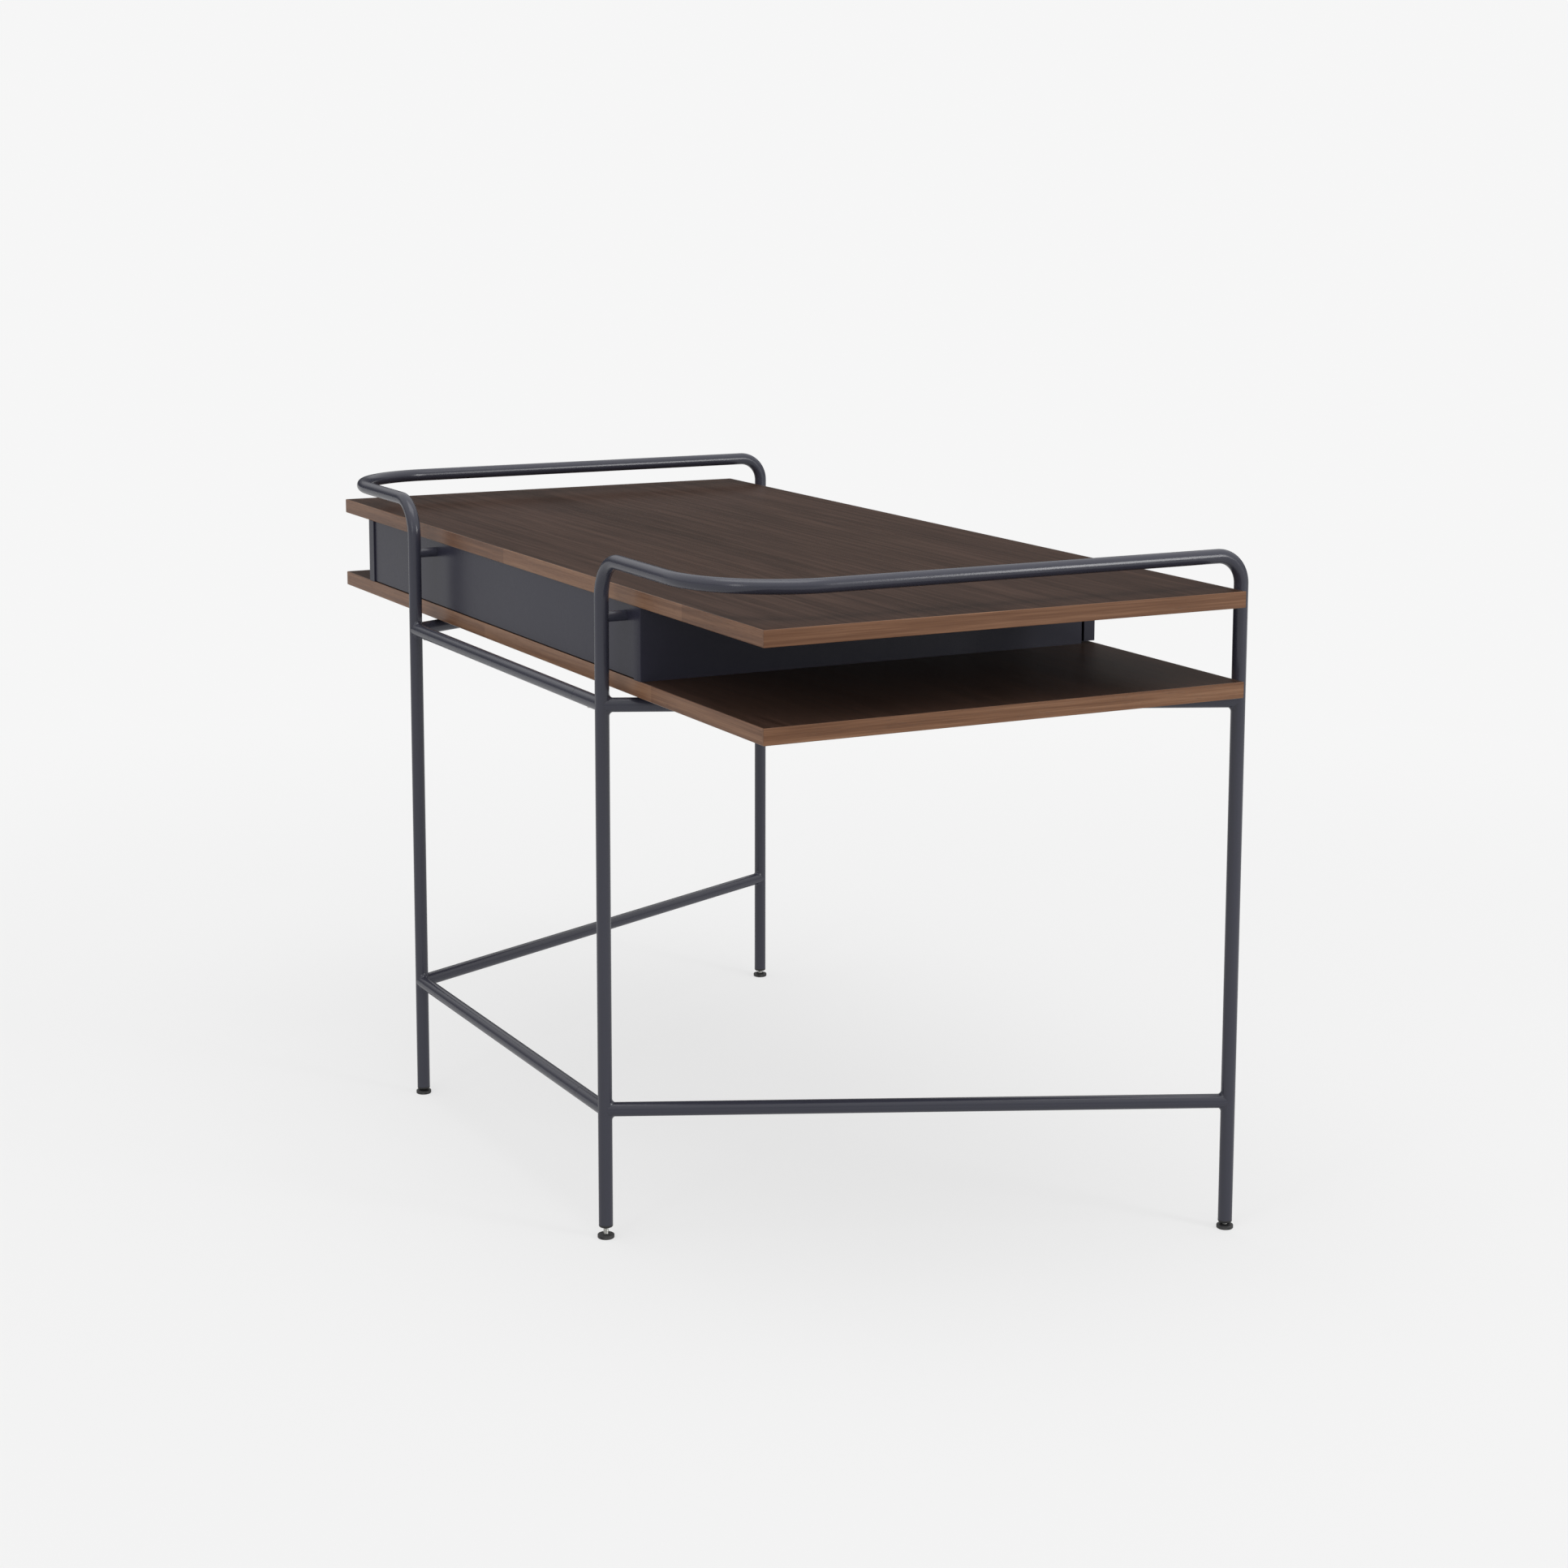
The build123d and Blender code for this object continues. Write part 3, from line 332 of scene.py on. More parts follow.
@dataclass(frozen=True)
class Timber:
    """Wood cut along its grain: growth bands, fibres and open pores.

    The grain runs along one axis. On boards' edge bands it turns at the ends, where the strip runs the
    other way. The patterns below say how often they repeat in a metre, along the grain and then across it.
    """

    WANDER = (1.3, 4.0)
    FIBRE = (14.0, 900.0)
    STREAK = (3.0, 160.0)
    PATCH = (5.0, 9.0)
    PORE = (55.0, 2100.0)
    TONE_RANGE = (0.36, 0.66)
    SPLICE_STEP = 0.07
    FACING_UP = 0.9

    name: str
    tones: WoodTones
    grain: Axis
    roughness: float
    band_width: float = 0.030
    pore_strength: float = 0.5
    pore_depth: float = 0.00004
    turn_beyond: float | None = None
    specular: float = 0.15
    seed: float = 0.0
    figure: float = 0.4
    splices: tuple[float, ...] = ()
    # Tones for faces that point up: a darker copy of the wood that paints shade on the top of the strip.
    shaded_top_tones: WoodTones | None = None

    def _coordinates(self, recipe: Recipe) -> tuple[Link, Link, Link]:
        """Turn the piece's coordinates to its grain.

        Args:
            recipe: The material's nodes.

        Returns:
            The coordinates along, across and through the grain.
        """
        axes = {axis: recipe.part_of(recipe.place, axis) for axis in Axis}
        order = {
            Axis.X: (Axis.X, Axis.Y, Axis.Z),
            Axis.Y: (Axis.Y, Axis.X, Axis.Z),
            Axis.Z: (Axis.Z, Axis.X, Axis.Y),
        }[self.grain]
        along, across, through = (axes[axis] for axis in order)
        if self.turn_beyond is not None:
            turned = abs(along) > self.turn_beyond
            kept = 1.0 - turned
            along, across = along * kept + across * turned, across * kept + along * turned
        return along, across, through

    def make(self) -> bpy.types.Material:
        """Make the material.

        Returns:
            The material.
        """
        recipe = Recipe(self.name)
        along, across, through = self._coordinates(recipe)
        along = along + self.seed
        place = (along, across, through)

        wander = self._pattern(recipe, place, self.WANDER, detail=3.0)
        ring = (across + through * 0.8 + wander * self.band_width * 3.2) / self.band_width
        broad = recipe.noise(recipe.stretched(along * 0.35, ring * 0.55, 0.0), scale=1.0, detail=2.0)
        growth = recipe.noise(
            recipe.stretched(along * 1.2, ring * 2.2, wander), scale=1.0, detail=4.0, roughness=0.6
        )
        fibre = self._pattern(recipe, place, self.FIBRE, detail=4.0, roughness=0.6)
        streak = self._pattern(recipe, place, self.STREAK, detail=3.0, roughness=0.6)
        patch = self._pattern(recipe, place, self.PATCH, detail=2.0)

        figure = broad * 0.45 + growth * 0.35 + patch * 0.20
        tone = figure * self.figure + (streak * 0.6 + fibre * 0.4) * (1.0 - self.figure)
        if self.splices:
            tone = tone + self._splice_tone(recipe) * self.SPLICE_STEP
        spread = tone.ramped(*self.TONE_RANGE)

        dash = self._pattern(recipe, place, self.PORE, detail=2.0)
        pores = dash.ramped(0.60, 0.72) * growth.ramped(0.62, 0.40)
        colour = self._tinted(recipe, self.tones, spread, pores)
        # Painted shade: faces that point up take the darker top tones, so the strip is darker on top than on
        # its sides.
        if self.shaded_top_tones is not None:
            painted_top_shade = recipe.part_of(recipe.facing, Axis.Z) > self.FACING_UP
            colour = recipe.mixed(painted_top_shade, colour, self._tinted(recipe, self.shaded_top_tones, spread, pores))

        rough = self.roughness + (streak - 0.5) * 0.12 + pores * 0.12
        height = fibre * 0.35 + (1.0 - pores) * 0.65
        normal = recipe.bump(height, self.pore_depth)
        return recipe.finish(
            Base_Color=colour, Roughness=rough, Normal=normal, IOR=1.48, Specular_IOR_Level=self.specular
        )

    @staticmethod
    def _pattern(
        recipe: Recipe,
        place: tuple[Link, Link, Link],
        repeats: tuple[float, float],
        detail: float,
        roughness: float = 0.5,
    ) -> Link:
        """Make a noise that is stretched along the grain.

        Args:
            recipe: The material's nodes.
            place: The coordinates along, across and through the grain.
            repeats: How often it repeats in a metre, along the grain and across it.
            detail: The noise's detail.
            roughness: The noise's roughness.

        Returns:
            The noise, from 0 to 1.
        """
        along, across, through = place
        lengthwise, crosswise = repeats
        vector = recipe.stretched(along * lengthwise, across * crosswise, through * crosswise)
        return recipe.noise(vector, 1.0, detail, roughness)

    def _tinted(self, recipe: Recipe, tones: WoodTones, spread: Link, pores: Link) -> Link:
        """The wood's colour for a spread from 0 to 1, with its pores."""
        wood = recipe.ramp(spread, [(0.0, tones.dark), (0.5, tones.middle), (1.0, tones.light)])
        return recipe.mixed(pores * self.pore_strength, wood, tones.pore)

    def _splice_tone(self, recipe: Recipe) -> Link:
        """Step the tone up or down where one length of edge strip ends and the next begins.

        Args:
            recipe: The material's nodes.

        Returns:
            The sum of the steps, a half up or down for each.
        """
        steps = [recipe.part_of(recipe.place, self.grain) > place for place in self.splices]
        total = steps[0] - 0.5
        for index, step in enumerate(steps[1:]):
            total = total + (step - 0.5) * (-1.0) ** (index + 1)
        return total


@dataclass(frozen=True)
class BirchPly:
    """Birch ply: pale crossed leaves on its edges and a plain rotary face."""

    name: str
    thickness: Axis
    leaf: float = 0.0014

    def make(self) -> bpy.types.Material:
        """Make the material.

        Returns:
            The material.
        """
        recipe = Recipe(self.name)
        axes = {axis: recipe.part_of(recipe.place, axis) for axis in Axis}
        depth = axes[self.thickness]
        along = axes[Axis.X] if self.thickness is not Axis.X else axes[Axis.Y]
        across = axes[Axis.Z] if self.thickness is not Axis.Z else axes[Axis.Y]
        flame = recipe.noise(recipe.stretched(along * 2.5, across * 26.0, depth), scale=1.0)
        fibre = recipe.noise(recipe.stretched(along * 20.0, across * 700.0, depth), scale=1.0)
        face = recipe.ramp(
            flame * 0.7 + fibre * 0.3,
            [(0.3, (0.44, 0.29, 0.165)), (0.52, (0.56, 0.40, 0.25)), (0.72, (0.66, 0.50, 0.335))],
        )
        leaves = (depth / self.leaf).folded(1.0).ramped(0.46, 0.54)
        end_grain = recipe.noise(recipe.place, scale=2400.0, detail=2.0)
        light_leaf = recipe.ramp(end_grain, [(0.3, (0.46, 0.33, 0.20)), (0.7, (0.60, 0.45, 0.30))])
        dark_leaf = recipe.ramp(end_grain, [(0.3, (0.20, 0.125, 0.07)), (0.7, (0.32, 0.21, 0.125))])
        edge = recipe.mixed(leaves, light_leaf, dark_leaf)
        on_edge = abs(recipe.part_of(recipe.facing, self.thickness)) < 0.5
        colour = recipe.mixed(on_edge, face, edge)
        rough = 0.46 + (fibre - 0.5) * 0.14 + on_edge * 0.14
        normal = recipe.bump(fibre * 0.6 + end_grain * 0.4, 0.00003)
        return recipe.finish(Base_Color=colour, Roughness=rough, Normal=normal, IOR=1.48)


@dataclass(frozen=True)
class PlatedSteel:
    """Plated steel with drawn lines along one axis, dulled patches and fine scuffs."""

    name: str
    colour: Colour
    roughness: float
    lines: Axis
    dulling: float = 0.15

    def make(self) -> bpy.types.Material:
        """Make the material.

        Returns:
            The material.
        """
        recipe = Recipe(self.name)
        stretch = tuple(12.0 if axis is self.lines else 900.0 for axis in Axis)
        drawn = recipe.noise(recipe.scaled(recipe.place, stretch), scale=1.0, detail=3.0, roughness=0.6)
        cloud = recipe.noise(recipe.place, scale=60.0, detail=4.0, roughness=0.6)
        speck = recipe.noise(recipe.place, scale=2600.0, detail=2.0)
        tone = 0.88 + cloud * 0.2 + (drawn - 0.5) * 0.10
        colour = recipe.mixed(1.0, self.colour, recipe.stretched(tone, tone, tone * 0.99), "MULTIPLY")
        rough = self.roughness + (drawn - 0.5) * 0.18 + cloud.ramped(0.5, 0.75) * self.dulling
        normal = recipe.bump(drawn * 0.7 + speck * 0.3, 0.000006)
        return recipe.finish(Base_Color=colour, Metallic=1.0, Roughness=rough, Normal=normal)


@dataclass(frozen=True)
class MouldedPlastic:
    """Black moulded plastic with a spark-eroded grain, a little worn and dusty low down."""

    name: str
    colour: Colour
    roughness: float
    dust_height: float

    def make(self) -> bpy.types.Material:
        """Make the material.

        Returns:
            The material.
        """
        recipe = Recipe(self.name)
        grain = recipe.noise(recipe.place, scale=3200.0, detail=3.0, roughness=0.6)
        cloud = recipe.noise(recipe.place, scale=180.0)
        height = recipe.part_of(recipe.place, Axis.Z)
        dust = (1.0 - height.ramped(0.0, self.dust_height)) * cloud.ramped(0.42, 0.7) * 0.35
        colour = recipe.mixed(dust, self.colour, (0.16, 0.155, 0.15))
        rough = self.roughness + (grain - 0.5) * 0.16 + dust * 0.4
        return recipe.finish(
            Base_Color=colour, Roughness=rough, Normal=recipe.bump(grain, 0.00003), IOR=1.48
        )


# ---------------------------------------------------------------- geometry
class Shape(Graph):
    """A geometry node tree with named inputs, run once on a plain mesh."""

    MORE_THAN_FOUR = 4.5

    def __init__(self, name: str) -> None:
        """Start a tree that takes and gives geometry.

        Args:
            name: The tree's name.
        """
        tree = bpy.data.node_groups.new(name, "GeometryNodeTree")
        super().__init__(tree)
        tree.interface.new_socket("Geometry", in_out="INPUT", socket_type="NodeSocketGeometry")
        tree.interface.new_socket("Geometry", in_out="OUTPUT", socket_type="NodeSocketGeometry")
        self._entry = tree.nodes.new("NodeGroupInput")
        self._exit = tree.nodes.new("NodeGroupOutput")

    def given(self, name: str = "Geometry") -> Link:
        """The tree's own input of that name."""
        return Link(self, self._entry.outputs[name])

    def size(self, name: str, kind: str = "NodeSocketFloat") -> Link:
        """Add a named input and return it."""
        self.tree.interface.new_socket(name, in_out="INPUT", socket_type=kind)
        return self.given(name)

    def stored(self, name: str, kind: str) -> Link:
        """An attribute stored on the points."""
        return self.node("GeometryNodeInputNamedAttribute", {"data_type": kind}, {"Name": name})

    def close(self, geometry: Link, material: Link) -> None:
        """End the tree: smooth sides, flat ends, real geometry and one material.

        Args:
            geometry: What the tree has made.
            material: Its finish.
        """
        corners = self.node("GeometryNodeInputMeshFaceNeighbors", {}, {}, "Vertex Count")
        feeds = {"Geometry": geometry, "Shade Smooth": corners < self.MORE_THAN_FOUR}
        smooth = self.node("GeometryNodeSetShadeSmooth", {}, feeds)
        real = self.node("GeometryNodeRealizeInstances", {}, {"Geometry": smooth})
        painted = self.node("GeometryNodeSetMaterial", {}, {"Geometry": real, "Material": material})
        self.tree.links.new(painted.socket, self._exit.inputs[0])

    def run(self, seed_mesh: bpy.types.Mesh, name: str, values: Mapping[str, Feed]) -> bpy.types.Object:
        """Run the tree on a mesh and keep the result as a plain mesh.

        Args:
            seed_mesh: The points or path that the tree works on.
            name: The finished piece's name.
            values: The tree's inputs, by name.

        Returns:
            The finished piece, at the origin.
        """
        holder = bpy.data.objects.new(name, seed_mesh)
        bpy.context.scene.collection.objects.link(holder)
        modifier = holder.modifiers.new("shape", "NODES")
        modifier.node_group = self.tree
        identifiers = {
            item.name: item.identifier
            for item in self.tree.interface.items_tree
            if item.item_type == "SOCKET" and item.in_out == "INPUT"
        }
        for key, value in values.items():
            modifier[identifiers[key]] = value
        depsgraph = bpy.context.evaluated_depsgraph_get()
        mesh = bpy.data.meshes.new_from_object(holder.evaluated_get(depsgraph), depsgraph=depsgraph)
        holder.modifiers.remove(modifier)
        holder.data = mesh
        mesh.name = name
        return holder


def points_mesh(
    name: str,
    points: Sequence[Point],
    joined: bool = False,
    numbers: Mapping[str, Sequence[float]] | None = None,
    vectors: Mapping[str, Sequence[Point]] | None = None,
) -> bpy.types.Mesh:
    """Make a mesh of bare points, or of a path through them.

    Args:
        name: The mesh's name.
        points: The points.
        joined: True for a path.
        numbers: Number attributes stored on the points.
        vectors: Vector attributes stored on the points.

    Returns:
        The mesh.
    """
    mesh = bpy.data.meshes.new(name)
    edges = [(index, index + 1) for index in range(len(points) - 1)] if joined else []
    mesh.from_pydata([tuple(point) for point in points], edges, [])
    for key, values in (numbers or {}).items():
        mesh.attributes.new(key, "FLOAT", "POINT").data.foreach_set("value", list(values))
    for key, rows in (vectors or {}).items():
        flat = [number for row in rows for number in row]
        mesh.attributes.new(key, "FLOAT_VECTOR", "POINT").data.foreach_set("vector", flat)
    return mesh


def islands(node: str) -> list[tuple[Vector, Vector]]:
    """Find the separate solids of a CAD node.

    Args:
        node: The node's name.

    Returns:
        Each solid's lowest and highest corner, in the order of its first corner.
    """
    work = bmesh.new()
    work.from_mesh(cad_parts[node].data)
    bmesh.ops.remove_doubles(work, verts=work.verts, dist=1e-6)
    unseen = set(work.verts)
    boxes = []
    for start in list(work.verts):
        if start not in unseen:
            continue
        unseen.discard(start)
        stack, found = [start], []
        while stack:
            corner = stack.pop()
            found.append(corner.co.copy())
            for edge in corner.link_edges:
                other = edge.other_vert(corner)
                if other in unseen:
                    unseen.discard(other)
                    stack.append(other)
        low = Vector([min(point[axis] for point in found) for axis in range(3)])
        high = Vector([max(point[axis] for point in found) for axis in range(3)])
        boxes.append((low, high))
    work.free()
    return sorted(boxes, key=lambda corners: tuple(round(value, 4) for value in corners[0]))


class BentTube:
    """Round tube bent along a path, each corner with its own bend radius."""

    SIDES = 40
    STEPS_IN_A_BEND = 22

    def __init__(self) -> None:
        """Build the tree."""
        shape = Shape("bent tube")
        radius = shape.size("Tube radius")
        sides = shape.size("Sides", "NodeSocketInt")
        steps = shape.size("Steps in a bend", "NodeSocketInt")
        material = shape.size("Material", "NodeSocketMaterial")
        path = shape.node("GeometryNodeMeshToCurve", {}, {"Mesh": shape.given()})
        bends = shape.stored("bend", "FLOAT")
        feeds = {"Curve": path, "Count": steps, "Radius": bends, "Limit Radius": False}
        rounded = shape.node("GeometryNodeFilletCurve", {"mode": "POLY"}, feeds)
        section = shape.node("GeometryNodeCurvePrimitiveCircle", {}, {"Resolution": sides, "Radius": radius})
        feeds = {"Curve": rounded, "Profile Curve": section, "Fill Caps": True}
        tube = shape.node("GeometryNodeCurveToMesh", {}, feeds)
        shape.close(tube, material)
        self.shape = shape

    def make(
        self,
        name: str,
        path: Sequence[Point],
        bends: Sequence[float],
        radius: float,
        material: bpy.types.Material,
    ) -> bpy.types.Object:
        """Make one tube.

        Args:
            name: The piece's name.
            path: The corners that the axis would have if it were not bent.
            bends: The bend's radius at each of them, 0 at the ends.
            radius: The tube's outer radius.
            material: Its finish.

        Returns:
            The tube.
        """
        seed = points_mesh(name + "_path", path, joined=True, numbers={"bend": bends})
        values = {
            "Tube radius": radius,
            "Sides": self.SIDES,
            "Steps in a bend": self.STEPS_IN_A_BEND,
            "Material": material,
        }
        return self.shape.run(seed, name, values)


class Recess(Enum):
    """The driver's recess in a screw's head."""

    NONE = 0
    CROSS = 1
    HEX = 2


@dataclass(frozen=True)
class Fastener:
    """One kind of threaded fastener, measured in metres from the seat of its head."""

    SIDES = 18
    RINGS_IN_A_PITCH = 5
    FEWEST_RINGS = 12
    CROWN_DROP = 0.45
    HEX_RADIUS = 0.58
    HEX_DEPTH = 1.2
    CROSS_ARM = 0.26
    CROSS_DEPTH = 0.7

    shank: float
    length: float
    pitch: float
    thread: float
    head: float
    dome: float
    rim: float
    cone: float
    recess: Recess
    recess_width: float
    tip: float

    def tree(self, name: str) -> Shape:
        """The geometry tree that turns this fastener's section and sets one on each point.

        Args:
            name: The tree's name.

        Returns:
            The tree.
        """
        shape = Shape(name)
        shank, length = shape.size("Shank radius"), shape.size("Length")
        pitch, thread = shape.size("Pitch"), shape.size("Thread depth")
        head, dome = shape.size("Head radius"), shape.size("Dome height")
        rim, cone = shape.size("Rim thickness"), shape.size("Cone height")
        tip = shape.size("Tip length")
        recess_width = shape.size("Recess width")
        material = shape.size("Material", "NodeSocketMaterial")

        rings = shape.size("Rings", "NodeSocketInt")
        feeds = {"Vertices": self.SIDES, "Side Segments": rings, "Radius": 1.0, "Depth": length + dome}
        bar = shape.node("GeometryNodeMeshCylinder", {"fill_type": "NGON"}, feeds, "Mesh")
        position = shape.node("GeometryNodeInputPosition")
        x, y, z0 = (
            shape.node("ShaderNodeSeparateXYZ", {}, {0: position}, axis.value) for axis in Axis
        )
        z = z0 + (length - dome) * 0.5
        turn = shape.node("ShaderNodeMath", {"operation": "ARCTAN2"}, {0: y, 1: x}) / (2 * math.pi)
        groove = (z / pitch - turn).folded(0.5) * 2.0
        below_head = ((z - rim - cone) / pitch).clamped()
        taper = ((length - z) / tip + 0.25).clamped()
        shank_radius = (shank - thread * groove * below_head) * taper
        rise = (0.0 - z / dome.at_least(1e-6)).clamped()
        crown = head * (1.0 - self.CROWN_DROP * rise**3.0)
        narrowing = ((z - rim) / cone.at_least(1e-6)).clamped()
        head_radius = crown + (shank * 0.5 - crown) * narrowing
        radius = head_radius.at_least(shank_radius)
        moved = shape.node("ShaderNodeCombineXYZ", {}, {0: x * radius, 1: y * radius, 2: z})
        screw = shape.node("GeometryNodeSetPosition", {}, {"Geometry": bar, "Position": moved})
        screw = self._recessed(shape, screw, dome, recess_width)
        aim = shape.stored("aim", "FLOAT_VECTOR")
        turned = shape.node("FunctionNodeAlignRotationToVector", {"axis": "Z"}, {"Vector": aim})
        feeds = {"Points": shape.given(), "Instance": screw, "Rotation": turned}
        placed = shape.node("GeometryNodeInstanceOnPoints", {}, feeds)
        shape.close(placed, material)
        return shape

    def _recessed(self, shape: Shape, screw: Link, dome: Link, width: Link) -> Link:
        """Cut the driver's recess into the head.

        Args:
            shape: The tree.
            screw: The screw without a recess.
            dome: The height of the head's dome above its seat.
            width: The recess's width.

        Returns:
            The screw with its recess.
        """
        if self.recess is Recess.NONE:
            return screw
        if self.recess is Recess.HEX:
            feeds = {"Vertices": 6, "Radius": width * self.HEX_RADIUS, "Depth": width * self.HEX_DEPTH}
            bits = [shape.node("GeometryNodeMeshCylinder", {"fill_type": "NGON"}, feeds, "Mesh")]
        else:
            bits = [
                shape.node("GeometryNodeMeshCube", {}, {"Size": self._bar(shape, width, axis)}, "Mesh")
                for axis in (Axis.X, Axis.Y)
            ]
        for bit in bits:
            place = shape.node("ShaderNodeCombineXYZ", {}, {0: 0.0, 1: 0.0, 2: 0.0 - dome})
            cutter = shape.node("GeometryNodeTransform", {}, {"Geometry": bit, "Translation": place})
            settings = {"operation": "DIFFERENCE", "solver": "EXACT"}
            screw = shape.node("GeometryNodeMeshBoolean", settings, {"Mesh 1": screw, "Mesh 2": cutter})
        return screw

    def _bar(self, shape: Shape, width: Link, axis: Axis) -> Link:
        """Size one arm of a cross recess.

        Args:
            shape: The tree.
            width: The recess's width.
            axis: The arm's direction.

        Returns:
            The arm's size.
        """
        long, short = width, width * self.CROSS_ARM
        feeds = {0: long, 1: short} if axis is Axis.X else {0: short, 1: long}
        return shape.node("ShaderNodeCombineXYZ", {}, {**feeds, 2: width * self.CROSS_DEPTH})

    def values(self, material: bpy.types.Material) -> dict[str, Feed]:
        """Say what the tree's inputs are for this fastener.

        Args:
            material: Its finish.

        Returns:
            The inputs, by name.
        """
        rings = round((self.length + self.dome) / self.pitch * self.RINGS_IN_A_PITCH)
        return {
            "Shank radius": self.shank,
            "Length": self.length,
            "Pitch": self.pitch,
            "Thread depth": self.thread,
            "Head radius": self.head,
            "Dome height": self.dome,
            "Rim thickness": self.rim,
            "Cone height": self.cone,
            "Tip length": self.tip,
            "Recess width": self.recess_width,
            "Rings": max(self.FEWEST_RINGS, rings),
            "Material": material,
        }

    def make(
        self, name: str, seats: Sequence[Vector], aims: Sequence[Point], material: bpy.types.Material
    ) -> bpy.types.Object:
        """Set one fastener on each seat.

        Args:
            name: The piece's name.
            seats: Where each head's seat is.
            aims: Which way each tip points.
            material: The finish.

        Returns:
            All of them as one piece.
        """
        seed = points_mesh(name + "_seats", [tuple(seat) for seat in seats], vectors={"aim": aims})
        return self.tree(name + " tree").run(seed, name, self.values(material))


WOOD_SCREW = Fastener(
    shank=0.00175,
    length=0.016,
    pitch=0.0014,
    thread=0.0004,
    head=0.0036,
    dome=0.0022,
    rim=0.0,
    cone=0.00005,
    recess=Recess.CROSS,
    recess_width=0.0036,
    tip=0.003,
)
FRONT_SCREW = replace(WOOD_SCREW, length=0.022)
RUNNER_SCREW = replace(
    WOOD_SCREW,
    length=0.0098,
    pitch=0.0012,
    head=0.0032,
    dome=0.0,
    rim=0.0003,
    cone=0.0015,
    recess_width=0.0030,
    tip=0.002,
)
PANEL_SCREW = Fastener(
    shank=0.0035,
    length=0.050,
    pitch=0.0030,
    thread=0.0009,
    head=0.0050,
    dome=0.0,
    rim=0.0008,
    cone=0.0032,
    recess=Recess.HEX,
    recess_width=0.0040,
    tip=0.004,
)
STUD = Fastener(
    shank=0.00295,
    length=0.0315,
    pitch=0.0010,
    thread=0.00042,
    head=0.0042,
    dome=0.0,
    rim=0.0015,
    cone=0.00005,
    recess=Recess.NONE,
    recess_width=0.001,
    tip=0.0010,
)


# ---------------------------------------------------------------- sub-assemblies
@dataclass
class Assembly:
    """What every sub-assembly does: put finishes on CAD nodes and hand over new pieces."""

    made: list[str] = field(default_factory=list, init=False)

    def build(self) -> None:
        """Make and finish the pieces."""
        raise NotImplementedError

    def dress(self, material: bpy.types.Material, nodes: Iterable[str]) -> None:
        """Put a finish on CAD nodes, whose meshes stay as they are.

        Args:
            material: The finish.
            nodes: The nodes' names.
        """
        for node in nodes:
            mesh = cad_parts[node].data
            if not mesh.materials:
                mesh.materials.append(material)
            for index in range(len(mesh.materials)):
                mesh.materials[index] = material
            self.made.append(f"{node}, finished with {material.name}")

    def hand_over(self, piece: bpy.types.Object, body: str, slot: Slot, nodes: Sequence[str]) -> None:
        """Let a new piece ride on its body in place of CAD nodes.

        Args:
            piece: The finished piece.
            body: The body that it rides on.
            slot: The record's slot for its finish; not used.
            nodes: The CAD nodes that it stands for.
        """
        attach(piece, body)
        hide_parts(*nodes)
        self.made.append(f"{piece.name} in place of {', '.join(nodes)}, {len(piece.data.polygons)} faces")


@dataclass
class TubeFrame(Assembly):
    """Two bent side tubes with their bars, stubs, lugs, standoffs and end plugs."""

    lacquer: bpy.types.Material
    zinc: bpy.types.Material
    plastic: bpy.types.Material
    tube: float = 0.008
    post_x: float = 0.289
    leg_x: float = 0.580
    line_y: float = 0.318
    rail_z: float = 0.769
    post_bend: float = 0.044
    corner_bend: float = 0.122
    leg_bend: float = 0.032
    plug_flange: float = 0.003

    def build(self) -> None:
        """Make the side tubes and finish the rest."""
        bender = BentTube()
        for side, sign in (("left", -1.0), ("right", 1.0)):
            self._side_tube(bender, side, sign)
        bars = [f"side_bar_{level}_{side}" for level in ("lower", "upper") for side in ("left", "right")]
        self.dress(self.lacquer, [*bars, "back_bar_upper", "back_bar_lower", "bar_stubs"])
        self.dress(self.lacquer, ["board_lugs", "post_standoffs"])
        self.dress(self.zinc, ["bar_spigots", "bar_grub_screws", "standoff_screws"])
        self.dress(self.plastic, ["leg_plugs"])
        self._lug_screws()

    def _side_tube(self, bender: BentTube, side: str, sign: float) -> None:
        """Make one side's tube: back post, rail and front leg.

        Args:
            bender: What bends it.
            side: "left" or "right".
            sign: The side's sign on X.
        """
        ends = {low.y > 0: low.z + self.plug_flange for low, _ in islands("leg_plugs") if low.x * sign > 0}
        post, leg = sign * self.post_x, sign * self.leg_x
        path = [
            (post, self.line_y, ends[True]),
            (post, self.line_y, self.rail_z),
            (leg, self.line_y, self.rail_z),
            (leg, -self.line_y, self.rail_z),
            (leg, -self.line_y, ends[False]),
        ]
        bends = [0.0, self.post_bend, self.corner_bend, self.leg_bend, 0.0]
        piece = bender.make(f"side_tube_{side}", path, bends, self.tube, self.lacquer)
        self.hand_over(piece, "desk", Slot.TUBE, [f"side_frame_{side}"])

    def _lug_screws(self) -> None:
        """Make the screws that hold the lower board to the lugs."""
        seats = [
            Vector(((low.x + high.x) / 2, (low.y + high.y) / 2, low.z + WOOD_SCREW.dome))
            for low, high in islands("lug_screws")
        ]
        piece = WOOD_SCREW.make("lug_screw_set", seats, [(0.0, 0.0, 1.0)] * len(seats), self.zinc)
        self.hand_over(piece, "desk", Slot.ZINC, ["lug_screws"])


@dataclass
class Boards(Assembly):
    """The two walnut boards with their edge bands."""

    upper_face: bpy.types.Material
    lower_face: bpy.types.Material
    upper_edge: bpy.types.Material
    lower_edge: bpy.types.Material

    def build(self) -> None:
        """Finish the boards."""
        self.dress(self.upper_face, ["upper_board"])
        self.dress(self.lower_face, ["lower_board"])
        self.dress(self.upper_edge, ["upper_edge_bands"])
        self.dress(self.lower_edge, ["lower_edge_bands"])


